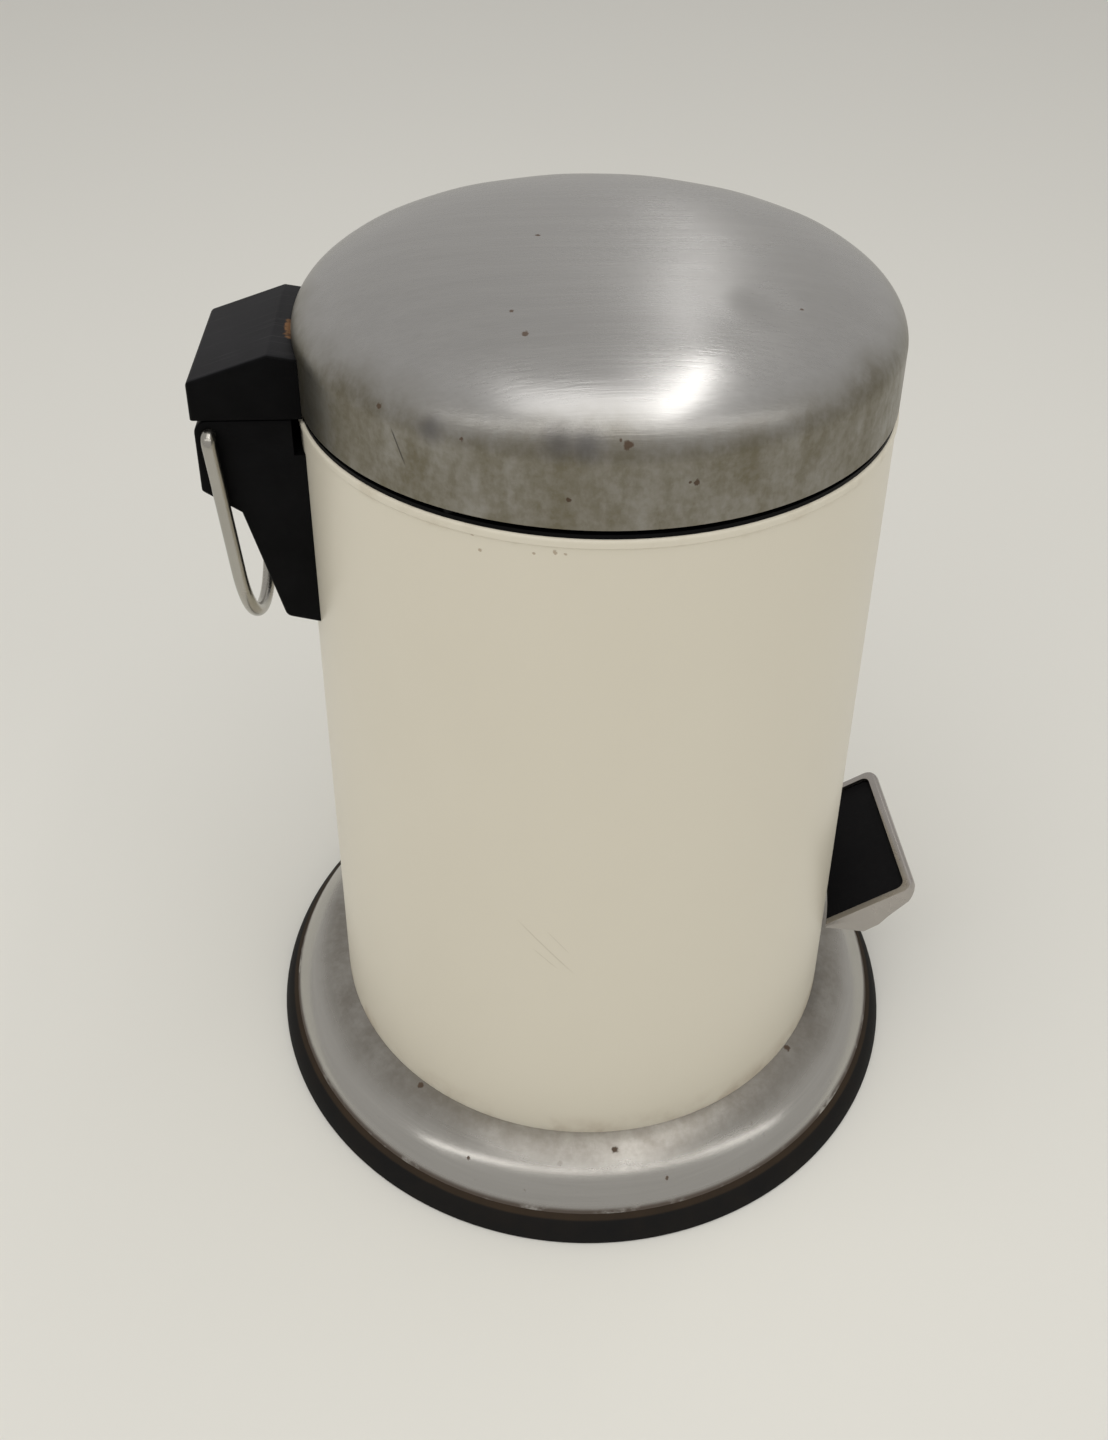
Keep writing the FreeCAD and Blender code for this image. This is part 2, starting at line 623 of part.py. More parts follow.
def make_collar_and_bucket():
    """The black inner collar with its bumpers, the lift-out bucket and its wire handle."""
    wall = S.collar_wall
    finish(revolved("top_collar", [
        (S.collar_inner, S.collar_bottom),
        (S.collar_inner + wall, S.collar_bottom),
        (S.collar_inner + wall, S.rim_top),
        (S.collar_outer - wall, S.rim_top),
        (S.collar_outer - wall, S.collar_bottom + 2),
        (S.collar_outer, S.collar_bottom + 2),
        (S.collar_outer, S.rim_top),
        (S.collar_flange, S.rim_top),
        (S.collar_flange, S.collar_top),
        (S.collar_inner, S.collar_top),
    ]))
    bumpers = []
    for index, turn in enumerate((60, 180, 300)):
        pad = cylinder(f"bumper_pad_{index}", S.bumper_radius, S.bumper_top - S.collar_top,
                       (0, S.bumper_circle, S.collar_top))
        bumpers.append(turned(f"bumper_{index}", [pad], turn))
    finish(group("lid_bumpers", bumpers))

    thick = S.bucket_wall
    rim_low = S.bucket_rim_z
    tub = revolved("tub_solid", [
        (0, S.bucket_low),
        (S.bucket_foot, S.bucket_low),
        (S.bucket_mouth, rim_low),
        (S.bucket_rim, rim_low),
        (S.bucket_rim, rim_low + 1.5),
        (S.bucket_mouth - thick, rim_low + 1.5),
        (S.bucket_foot - thick, S.bucket_low + thick),
        (0, S.bucket_low + thick),
    ])
    ears = []
    ear_in = S.bail_radius + S.bail_bend + 0.3
    ear_out = S.bucket_rim - 2.0
    for tag, low_x, high_x in (("left", -ear_out, -ear_in), ("right", ear_in, ear_out)):
        ears.append(box(f"ear_{tag}", (low_x, -4, rim_low), (high_x, 4, S.bail_z + 3)))
    bore = cylinder("ear_bore", S.bail_wire + S.running_gap, 170, (-85, 0, S.bail_z), "X")
    finish(cut("inner_bucket", fuse("tub_with_ears", tub, *ears), bore))

    bend = S.bail_bend
    loop = S.bail_radius
    points = [
        (-S.bail_end, 0),
        (-loop - bend, 0, Arc(-loop - bend, -bend, bend)),
        (-loop, -bend, Arc(0, -bend, loop)),
        (0, -bend - loop, Arc(0, -bend, loop)),
        (loop, -bend, Arc(loop + bend, -bend, bend)),
        (loop + bend, 0),
        (S.bail_end, 0),
    ]
    bail = wire("bucket_handle", "XY_Plane", "YZ_Plane", points, (0, 0), S.bail_wire, -S.bail_end)
    place(bail, (0, 0, S.bail_z), ALONG["Z"])
    finish(bail)


def make_lid():
    """The spun lid: a shallow crown, a round shoulder, a straight band and a folded hem."""
    wall = S.sheet_wall
    crown = S.crown_arc
    middle = S.middle_arc
    shoulder = S.shoulder_arc
    first = (S.crown_tilt.sin(), S.crown_tilt.cos())
    second = (S.shoulder_tilt.sin(), S.shoulder_tilt.cos())
    crown_z = S.lid_top - crown
    middle_at = ((crown - middle) * first[0], crown_z + (crown - middle) * first[1])
    reach = middle - shoulder
    shoulder_at = (middle_at[0] + reach * second[0], middle_at[1] + reach * second[1])

    def crown_end(offset):
        return (crown - offset) * first[0], crown_z + (crown - offset) * first[1]

    def middle_end(offset):
        return (middle_at[0] + (middle - offset) * second[0],
                middle_at[1] + (middle - offset) * second[1])

    radius = shoulder_at[0] + shoulder
    hem_in = radius - S.hem_width
    hem_top = S.lid_edge + S.hem_height
    solid = revolved("lid_solid", [
        (0, S.lid_top, Arc(0, crown_z, crown)),
        (*crown_end(ZERO), Arc(*middle_at, middle)),
        (*middle_end(ZERO), Arc(*shoulder_at, shoulder)),
        (radius, shoulder_at[1]),
        (radius, S.lid_edge),
        (hem_in, S.lid_edge),
        (hem_in, hem_top),
        (radius - wall, hem_top),
        (radius - wall, shoulder_at[1], Arc(*shoulder_at, shoulder - wall)),
        (*middle_end(wall), Arc(*middle_at, middle - wall)),
        (*crown_end(wall), Arc(0, crown_z, crown - wall)),
        (0, S.lid_top - wall),
    ])
    turn = math.degrees(math.asin(SIZES["rivet_side"] / radius.value))
    rivets = []
    holes = []
    inner = radius - wall
    grip = wall + S.lid_gap + 1.6
    for tag, side in (("left", 1), ("right", -1)):
        shank = cylinder(f"lid_rivet_shank_{tag}", S.rivet_radius, grip + 0.1,
                         (0, inner - 0.1, S.rivet_z), "Y")
        inside = cylinder(f"lid_rivet_inner_{tag}", S.rivet_head, 1.0, (0, inner - 1.05, S.rivet_z), "Y")
        outside = cylinder(f"lid_rivet_outer_{tag}", S.rivet_head, 1.0, (0, inner + grip, S.rivet_z), "Y")
        rivets.append(turned(f"lid_rivet_{tag}", [shank, inside, outside], side * turn))
        bore = cylinder(f"lid_rivet_bore_{tag}", S.rivet_radius, 12, (0, inner - 5, S.rivet_z), "Y")
        holes.append(turned(f"lid_rivet_hole_{tag}", [bore], side * turn))
    rivet_holes = fuse("lid_rivet_holes", *holes)
    finish(cut("lid_dome", solid, rivet_holes))
    finish(group("lid_rivets", rivets))
    return radius, rivet_holes


def make_lid_arm(lid_radius, rivet_holes):
    """The steel arm on the lid: hinge barrel, strip, riveted plate and the toe that the rod lifts."""
    face = lid_radius + S.lid_gap
    strip_top = S.strip_bottom + S.strip_thick
    half = S.arm_half
    barrel_half = S.barrel_half
    barrel = cylinder("arm_barrel", S.knuckle, barrel_half * 2, (-barrel_half, S.hinge_y, S.hinge_z), "X")
    strip = box("arm_strip", (-half, lid_radius - 4, S.strip_bottom), (half, S.hinge_y, strip_top))
    web = box("arm_web", (-half, S.hinge_y - 3.8, S.hinge_z), (half, S.hinge_y, strip_top))
    toe_y = S.hinge_y - S.toe_reach
    toe_z = S.hinge_z - S.toe_drop
    toe_radius = S.toe_radius
    leg = box("arm_leg", (-S.toe_half, toe_y - toe_radius, toe_z),
              (S.toe_half, toe_y + toe_radius, strip_top))
    toe = cylinder("arm_toe", toe_radius, S.toe_half * 2, (-S.toe_half, toe_y, toe_z), "X")
    plate_block = box("plate_block", (-half, lid_radius - 4, S.strip_bottom),
                      (half, lid_radius + 4, S.plate_top))
    plate_drum = cylinder("plate_drum", face + 1.6, 40, (0, 0, S.strip_bottom - 4))
    plate = common("arm_plate", plate_block, plate_drum)
    lid_drum = cylinder("lid_drum", face, 60, (0, 0, S.strip_bottom - 8))
    bore = cylinder("arm_bore", S.hinge_pin + S.running_gap, 40, (-20, S.hinge_y, S.hinge_z), "X")
    screw_holes = [cylinder(f"arm_screw_hole_{index}", S.cap_screw_radius, 10, (x, S.cap_screw_y, 242))
                   for index, x in enumerate((-S.cap_screw_side, S.cap_screw_side))]
    blank = fuse("arm_blank", barrel, strip, web, leg, toe, plate)
    finish(cut("lid_arm", blank, lid_drum, bore, rivet_holes, *screw_holes))
    return face, strip_top


def make_cap(face, strip_top):
    """The black cover over the lid arm, with its two screws."""
    rear = S.cap_rear
    cap = side_prism("cap_solid", [
        (78, S.cap_bottom),
        (rear, S.cap_bottom),
        (rear, S.cap_eave),
        (S.cap_ridge_y, S.cap_ridge),
        (78, S.cap_front),
    ], S.cap_half)
    rounded(cap, "cap_rear_round", 1.8, corner_at(SIZES["cap_rear"], SIZES["cap_eave"]))
    rounded(cap, "cap_ridge_round", 1.5, corner_at(SIZES["cap_ridge_y"], SIZES["cap_ridge"]))
    rounded(cap, "cap_side_round", 1.2, at_side(
        S.cap_half, lambda box_of: box_of.YMin > 77.9 and box_of.ZMax > 247.4 and box_of.YMax > 78.1))
    wall = S.cap_wall
    hollow = side_prism("cap_hollow", [
        (88.2, 240),
        (rear - wall, 240),
        (rear - wall, S.cap_eave - 1.4),
        (S.cap_ridge_y + 0.9, S.cap_ridge - 2.4),
        (88.2, S.cap_ridge - 2.7),
    ], S.cap_half - wall)
    throat = box("cap_throat", (-S.arm_half - 0.3, 76, 240), (S.arm_half + 0.3, 89, S.plate_top + 1))
    drum = cylinder("cap_drum", face, 60, (0, 0, 238))
    screws = []
    bosses = []
    pilots = []
    for tag, x in (("left", -S.cap_screw_side), ("right", S.cap_screw_side)):
        boss_top = S.cap_ridge - 4.4
        bosses.append(cylinder(f"cap_boss_{tag}", 3.2, boss_top - strip_top, (x, S.cap_screw_y, strip_top)))
        shank = cylinder(f"cap_screw_shank_{tag}", S.cap_screw_radius, 10.4,
                         (x, S.cap_screw_y, S.strip_bottom))
        head = cylinder(f"cap_screw_head_{tag}", 2.4, 1.8, (x, S.cap_screw_y, S.strip_bottom - 1.8))
        screws.append(fuse(f"cap_screw_{tag}", shank, head))
        pilots.append(cylinder(f"cap_pilot_{tag}", S.cap_screw_radius, 14, (x, S.cap_screw_y, 244.5)))
    shell = cut("cap_shell", cap, hollow, throat, drum)
    finish(cut("hinge_cap", fuse("cap_blank", shell, *bosses), *pilots))
    finish(group("cap_screws", screws))


def make_bracket():
    """The black bracket on the shell that carries the lid's pin and the handle's ends."""
    y = S.hinge_y
    z = S.hinge_z
    rear = y + S.knuckle
    top = z + S.knuckle
    solid = side_prism("bracket_solid", [
        (78, S.bracket_bottom),
        (S.bracket_foot_y, S.bracket_foot),
        (S.bracket_waist_y, S.bracket_waist),
        (rear, S.bracket_heel),
        (rear, z, Arc(y, z, S.knuckle)),
        (y, top),
        (78, top),
    ], S.bracket_half)
    rounded(solid, "bracket_foot_round", 2.5, corner_at(SIZES["bracket_foot_y"], SIZES["bracket_foot"]))
    rounded(solid, "bracket_heel_round", 1.2, corner_at(rear.value, SIZES["bracket_heel"]))
    rounded(solid, "bracket_side_round", 0.9, at_side(
        S.bracket_half, lambda box_of: box_of.YMax > 78.1 and box_of.ZMin < 246.9 and box_of.YMax > 80))
    channel = side_prism("bracket_channel", [
        (76, 200),
        (93.6, 200),
        (S.bracket_waist_y - 2.4, S.bracket_waist + 1.2),
        (rear - 2.1, S.bracket_heel + 1.3),
        (rear - 2.1, z - 4.6),
        (rear + 2, z - 4.6),
        (rear + 2, top + 3),
        (76, top + 3),
    ], S.channel_half)
    shell_drum = cylinder("shell_drum", S.body_radius, 90, (0, 0, 170))
    notch = cylinder("notch_drum", S.body_radius + 3, 20, (0, 0, 236))
    pin_bore = cylinder("pin_bore", S.hinge_pin, S.hinge_pin_half * 2, (-S.hinge_pin_half, y, z), "X")
    ends = [cylinder(f"end_bore_{index}", S.handle_wire + S.running_gap, 10, (x, y, z), "X")
            for index, x in enumerate((Size.of(19.0), Size.of(-29.0)))]
    holes = []
    screws = []
    head_radius = S.body_radius - S.sheet_wall - 2.28
    for index, (turn, height, depth) in enumerate(BRACKET_SCREWS):
        holes.append(screw_shank(f"bracket_hole_{index}", turn, height, depth))
        head = cylinder(f"bracket_screw_head_{index}", S.bracket_screw_head, 2.2,
                        (0, head_radius, height), "Y")
        shank = cylinder(f"bracket_screw_shank_{index}", S.bracket_screw_radius, depth + 1,
                         (0, head_radius + 1.2, height), "Y")
        screws.append(turned(f"bracket_screw_{index}", [head, shank], turn))
    finish(cut("hinge_bracket", solid, channel, shell_drum, notch, pin_bore, *ends, *holes))
    finish(group("bracket_screws", screws))
    finish(cylinder("hinge_pin", S.hinge_pin, S.hinge_pin_half * 2, (-S.hinge_pin_half, y, z), "X"))


def make_carry_handle():
    """The round wire loop that hangs from the bracket."""
    bend = S.handle_bend
    half = S.handle_half
    drop = half - S.handle_depth
    points = [
        (-S.handle_end, 0),
        (-half + bend, 0, Arc(-half + bend, -bend, bend)),
        (-half, -bend),
        (-half, drop, Arc(0, drop, half)),
        (0, drop - half, Arc(0, drop, half)),
        (half, drop),
        (half, -bend, Arc(half - bend, -bend, bend)),
        (half - bend, 0),
        (S.handle_end, 0),
    ]
    handle = wire("carry_handle", "XZ_Plane", "YZ_Plane", points, (0, 0), S.handle_wire, -S.handle_end)
    place(handle, (0, S.hinge_y, S.hinge_z), Rotation(Vector(1, 0, 0), -SIZES["handle_lean"]))
    finish(handle)


def write_parts():
    """Checks every object and sub-part, then writes one STEP file for each node."""
    doc.recompute()
    failed = [obj.Name for obj in doc.Objects if "Invalid" in obj.State or "Error" in obj.State]
    broken = [obj.Name for obj in finished if obj.Shape.isNull() or not obj.Shape.isValid()]
    if failed or broken:
        raise SystemExit(f"failed objects {failed}, broken sub-parts {broken}")
    os.makedirs("parts", exist_ok=True)
    for obj in finished:
        obj.Shape.exportStep(os.path.join("parts", f"{obj.Label}.step"))
        solids = len(obj.Shape.Solids)
        print(f"{obj.Label}: {solids} solid(s), {obj.Shape.Volume:.1f} mm3")


make_shell()
make_pivot(*make_base())
make_pedal()
make_rod()
make_collar_and_bucket()
lid_radius, lid_rivet_holes = make_lid()
make_cap(*make_lid_arm(lid_radius, lid_rivet_holes))
make_bracket()
make_carry_handle()
write_parts()
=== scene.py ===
import logging
import math
from dataclasses import dataclass
from enum import Enum
from typing import Any, Callable, Sequence

import bmesh
import bpy
import numpy as np
from mathutils import Matrix, Vector


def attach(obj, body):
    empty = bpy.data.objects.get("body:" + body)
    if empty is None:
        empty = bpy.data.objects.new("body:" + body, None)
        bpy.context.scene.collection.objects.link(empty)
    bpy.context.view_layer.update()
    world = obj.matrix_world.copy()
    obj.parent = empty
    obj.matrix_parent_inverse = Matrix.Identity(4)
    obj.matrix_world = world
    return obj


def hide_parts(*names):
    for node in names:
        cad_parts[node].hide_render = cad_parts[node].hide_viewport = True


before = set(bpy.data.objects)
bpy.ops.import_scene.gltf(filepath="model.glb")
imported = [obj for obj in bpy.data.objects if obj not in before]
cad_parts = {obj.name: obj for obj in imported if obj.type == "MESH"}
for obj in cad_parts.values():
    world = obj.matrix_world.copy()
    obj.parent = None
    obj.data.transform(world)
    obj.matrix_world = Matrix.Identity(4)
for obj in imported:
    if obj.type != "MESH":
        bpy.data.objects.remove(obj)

log = logging.getLogger("pedal_trash_can")
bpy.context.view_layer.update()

# Distances are in metres. Angles are in degrees, but FLAT_ANGLE is in radians.
MM = 0.001
MERGE_DISTANCE = 1e-6
CAD_MERGE_DISTANCE = 2e-6
FLAT_ANGLE = 0.002
BEVEL_FACES = 3
BEVEL_ANGLE = 38.0
CRISP_ANGLE = 40.0

# A Number is a Socket or a plain number. A Mark is a centre and a radius, and a Cut is two ends and
# a half width, all in millimetres.
Number = Any
Pair = tuple[float, float]
Point = tuple[float, float, float]
Colour = tuple[float, float, float]
Mark = tuple[Point, float]
Cut = tuple[Point, Point, float]


class Body(Enum):
    """The rigid bodies that carry a new piece."""

    CAN = "can"
    LID = "lid"
    PEDAL = "pedal"


class Slot(Enum):
    """The record's material slots for the new pieces; nothing in this script assigns them."""

    LID = "brushed_lid"
    SATIN = "satin_stainless"
    BLACK = "black_plastic"
    RUBBER = "soft_rubber"


class Socket:
    """A node's output that takes part in Python arithmetic."""

    def __init__(self, tree: "Tree", link: bpy.types.NodeSocket) -> None:
        """Keeps the tree and the output that this value comes from."""
        self.tree = tree
        self.link = link

    def _math(self, operation: str, *values: Number) -> "Socket":
        """Adds a Math node on the given values."""
        return self.tree.value("ShaderNodeMath", {"operation": operation}, dict(enumerate(values)))

    def __add__(self, other: Number) -> "Socket":
        """Sum."""
        return self._math("ADD", self, other)

    def __sub__(self, other: Number) -> "Socket":
        """Difference."""
        return self._math("SUBTRACT", self, other)

    def __rsub__(self, other: Number) -> "Socket":
        """Difference from a plain number."""
        return self._math("SUBTRACT", other, self)

    def __mul__(self, other: Number) -> "Socket":
        """Product."""
        return self._math("MULTIPLY", self, other)

    def __truediv__(self, other: Number) -> "Socket":
        """Quotient."""
        return self._math("DIVIDE", self, other)

    def __pow__(self, other: Number) -> "Socket":
        """Power."""
        return self._math("POWER", self, other)

    def low(self, other: Number) -> "Socket":
        """The smaller of two values."""
        return self._math("MINIMUM", self, other)

    def high(self, other: Number) -> "Socket":
        """The larger of two values."""
        return self._math("MAXIMUM", self, other)

    def step(self, start: float, end: float) -> "Socket":
        """A smooth step.

        Args:
            start: The value where the step is 0.
            end: The value where it is 1; it may lie below start.

        Returns:
            0 before start, 1 past end and an S-shaped rise between them.
        """
        flip = end < start
        ends = {1: end, 2: start, 3: 1.0, 4: 0.0} if flip else {1: start, 2: end, 3: 0.0, 4: 1.0}
        settings = {"interpolation_type": "SMOOTHSTEP"}
        return self.tree.value("ShaderNodeMapRange", settings, {0: self, **ends})


class Tree:
    """One material's node tree."""

    def __init__(self, name: str) -> None:
        """Makes an empty material with the given name."""
        self.material = bpy.data.materials.new(name)
        self.material.use_nodes = True
        self.nodes = self.material.node_tree.nodes
        self.links = self.material.node_tree.links
        self.nodes.clear()

    def node(self, kind: str, settings: dict[str, Any], inputs: dict[Any, Any]) -> bpy.types.Node:
        """Adds one node.

        Args:
            kind: The node's Blender type.
            settings: Its properties, such as its operation.
            inputs: Values or links by the socket's name or number.

        Returns:
            The node.
        """
        made = self.nodes.new(kind)
        for key, value in settings.items():
            setattr(made, key, value)
        for key, value in inputs.items():
            if isinstance(value, Socket):
                self.links.new(value.link, made.inputs[key])
            else:
                made.inputs[key].default_value = value
        return made

    def value(self, kind: str, settings: dict[str, Any], inputs: dict[Any, Any],
              output: Number = 0) -> Socket:
        """Adds one node and returns one of its outputs."""
        return Socket(self, self.node(kind, settings, inputs).outputs[output])

    def place(self) -> Socket:
        """The point on the piece, in the shared frame, in metres."""
        return self.value("ShaderNodeTexCoord", {}, {}, "Object")

    def axes(self) -> tuple[Socket, Socket, Socket]:
        """The point's x, y and z in millimetres."""
        parts = self.node("ShaderNodeSeparateXYZ", {}, {0: self.place()})
        x, y, z = (Socket(self, output) * (1 / MM) for output in parts.outputs)
        return x, y, z

    def point(self, x: Number, y: Number, z: Number) -> Socket:
        """A vector of three values."""
        return self.value("ShaderNodeCombineXYZ", {}, {0: x, 1: y, 2: z})

    def scaled(self, scale: Point) -> Socket:
        """The point on the piece, in metres, times a scale for each axis."""
        return self.value("ShaderNodeVectorMath", {"operation": "MULTIPLY"}, {0: self.place(), 1: scale})

    def noise(self, scale: Point, detail: float = 3.0, rough: float = 0.55, shift: float = 0.0) -> Socket:
        """Cloudy noise from 0 to 1.

        Args:
            scale: Cycles per metre along each axis.
            detail: Octaves.
            rough: How strong the fine octaves are.
            shift: A move along a fourth axis that gives another pattern.

        Returns:
            The noise.
        """
        return self.noise_at(self.scaled(scale), detail, rough, shift)

    def noise_at(self, where: Socket, detail: float, rough: float, shift: float) -> Socket:
        """Cloudy noise from 0 to 1 at a point of its own space, as noise() describes."""
        sizes = {"Vector": where, "Scale": 1.0, "Detail": detail, "Roughness": rough, "W": shift}
        return self.value("ShaderNodeTexNoise", {"noise_dimensions": "4D"}, sizes)

    def turned(self, across: float, around: float) -> Socket:
        """A space in which noise makes rings about Z.

        The point is (across r, around x / r, around y / r), where r is the distance from Z in
        millimetres, so a pattern is fine across the rings and long round them.
        """
        x, y, _ = self.axes()
        radius = (x * x + y * y) ** 0.5
        return self.point(radius * across, x / radius * around, y / radius * around)

    def mix(self, factor: Number, first: Any, second: Any) -> Socket:
        """A blend of two colours."""
        pair = [value if isinstance(value, Socket) else (*value, 1.0) for value in (first, second)]
        return self.value("ShaderNodeMix", {"data_type": "RGBA"}, {0: factor, 6: pair[0], 7: pair[1]}, 2)

    def shade(self, first: Any, factor: Socket) -> Socket:
        """A colour times a grey value."""
        grey = self.value("ShaderNodeCombineColor", {}, {0: factor, 1: factor, 2: factor})
        colour = first if isinstance(first, Socket) else (*first, 1.0)
        settings = {"data_type": "RGBA", "blend_type": "MULTIPLY"}
        return self.value("ShaderNodeMix", settings, {0: 1.0, 6: colour, 7: grey}, 2)

    def spot(self, centre: Point, radius: float, ragged: float = 0.7, core: float = 0.55) -> Socket:
        """A round mark with a ragged edge.

        Args:
            centre: Its middle in millimetres.
            radius: Its radius in millimetres.
            ragged: How far noise moves its edge, as a share of the radius.
            core: The share of the radius inside which the mark is full.

        Returns:
            1 in the mark and 0 outside it.
        """
        middle = tuple(value * MM for value in centre)
        away = self.value("ShaderNodeVectorMath", {"operation": "DISTANCE"},
                          {0: self.place(), 1: middle}, "Value") * (1 / MM)
        pitch = 0.8 / (radius * MM)
        wobble = (self.noise((pitch, pitch, pitch), 3.0, 0.7) - 0.5) * (3.0 * ragged * radius)
        return (away + wobble).step(radius, radius * core)

    def scratch(self, start: Point, end: Point, width: float, on_wall: bool = False) -> Socket:
        """A thin straight mark, from the distance to the line between two points.

        Args:
            start: One end in millimetres.
            end: The other end in millimetres.
            width: Its half width in millimetres.
            on_wall: Whether it is measured square to X, on the side where X is negative, so that it
                follows a curved wall.

        Returns:
            1 on the mark, fading at its ends, and 0 off it.
        """
        square = Vector((0 if on_wall else 1, 1, 1))
        run = (Vector(end) - Vector(start)) * square
        length = run.length
        along = run / length
        x, y, z = self.axes()
        dx, dy, dz = (x - start[0]) * square.x, y - start[1], z - start[2]
        travel = dx * along.x + dy * along.y + dz * along.z
        squared = dx * dx + dy * dy + dz * dz - travel * travel
        on_line = squared.step((width * 1.6) ** 2, (width * 0.4) ** 2)
        fade = travel.step(0.0, length * 0.25) * travel.step(length, length * 0.7)
        side = x.step(0.0, -1.0) if on_wall else 1.0
        return on_line * fade * side

    def finish(self, shader: dict[str, Any], height: Socket | None = None,
               depth: float = 0.0001) -> bpy.types.Material:
        """Ends the tree in a Principled shader.

        Args:
            shader: Values or links of the shader's sockets.
            height: The relief, from 0 to 1, or None.
            depth: How high that relief stands, in metres.

        Returns:
            The material.
        """
        inputs = dict(shader)
        if height is not None:
            relief = {"Strength": 1.0, "Distance": depth, "Height": height}
            inputs["Normal"] = self.value("ShaderNodeBump", {}, relief)
        surface = self.value("ShaderNodeBsdfPrincipled", {}, inputs)
        self.node("ShaderNodeOutputMaterial", {}, {"Surface": surface})
        return self.material


def most(values: Sequence[Socket]) -> Socket:
    """The largest of several masks."""
    result = values[0]
    for value in values[1:]:
        result = result.high(value)
    return result


@dataclass(frozen=True)
class CreamPaint:
    """Baked cream powder coat: a slight orange peel, hairline rubs and a few dirty pinholes.

    Heights are in millimetres: grime fades in from grime_from down to grime_full above the skirt, and
    the worn rim from rim_from up to rim_full below the lid.
    """

    colour: Colour = (0.76, 0.715, 0.60)
    shade: Colour = (0.71, 0.66, 0.545)
    dirt: Colour = (0.30, 0.20, 0.11)
    rubbed: Colour = (0.52, 0.47, 0.38)
    worn: Colour = (0.42, 0.34, 0.22)
    roughness: float = 0.36
    coat: float = 0.12
    coat_roughness: float = 0.22
    relief: float = 0.00012
    grime_from: float = 31.0
    grime_full: float = 20.5
    rim_from: float = 241.8
    rim_full: float = 243.4
    rubs: tuple[Cut, ...] = (
        ((-80.6, 26.7, 115.2), (-84.4, 8.5, 93.4), 0.19),
        ((-81.8, 22.0, 104.0), (-83.6, 14.0, 96.0), 0.11),
        ((-82.9, 18.0, 112.0), (-84.3, 10.5, 102.5), 0.09),
    )
    marks: tuple[Mark, ...] = (
        ((-77.7, 34.4, 239.3), 0.6),
        ((-83.3, 16.5, 242.0), 0.8),
        ((-83.8, 14.0, 241.6), 0.5),
        ((-82.2, 21.5, 241.0), 0.45),
        ((-76.9, 36.2, 243.4), 0.5),
    )

    def material(self) -> bpy.types.Material:
        """Builds the paint."""
        tree = Tree("cream_paint")
        _, _, z = tree.axes()
        cloud = tree.noise((14, 14, 9), 3.0)
        tint = tree.mix(cloud.step(0.35, 0.75) * 0.35, self.colour, self.shade)

        # Wear: pinholes in patches, rubs, dirty marks, grime at the skirt and a worn upper rim.
        pins = tree.noise((900, 900, 900), 1.0, shift=3.0).step(0.76, 0.80)
        patches = tree.noise((22, 22, 22), 2.0, shift=5.0).step(0.55, 0.7)
        rubs = most([tree.scratch(*rub, on_wall=True) for rub in self.rubs])
        marks = most([tree.spot(*mark) for mark in self.marks])
        grime = z.step(self.grime_from, self.grime_full) * tree.noise((60, 60, 60), 4.0).step(0.40, 0.68)
        flakes = tree.noise((90, 90, 90), 4.0, shift=9.0).step(0.5, 0.72)
        rim = z.step(self.rim_from, self.rim_full) * flakes
        tint = tree.mix(pins * patches * 0.35, tint, self.dirt)
        tint = tree.mix(rubs * 0.48, tint, self.rubbed)
        tint = tree.mix(marks * 0.6, tint, self.dirt)
        tint = tree.mix(grime * 0.45, tint, self.dirt)
        tint = tree.mix(rim * 0.25, tint, self.worn)
        rough = cloud * 0.10 + (self.roughness - 0.05) + rubs * 0.18 + grime * 0.25

        # Relief: the coat's orange peel and the sheet's slow waves, less the rubs and marks.
        peel = tree.noise((520, 520, 520), 2.0, 0.5)
        dents = tree.noise((11, 11, 6), 1.0, shift=2.0)
        height = peel * 0.16 + dents * 0.5 - rubs * 0.25 - marks * 0.5
        shader = {"Base Color": tint, "Roughness": rough, "Coat Weight": self.coat,
                  "Coat Roughness": self.coat_roughness}
        return tree.finish(shader, height, self.relief)


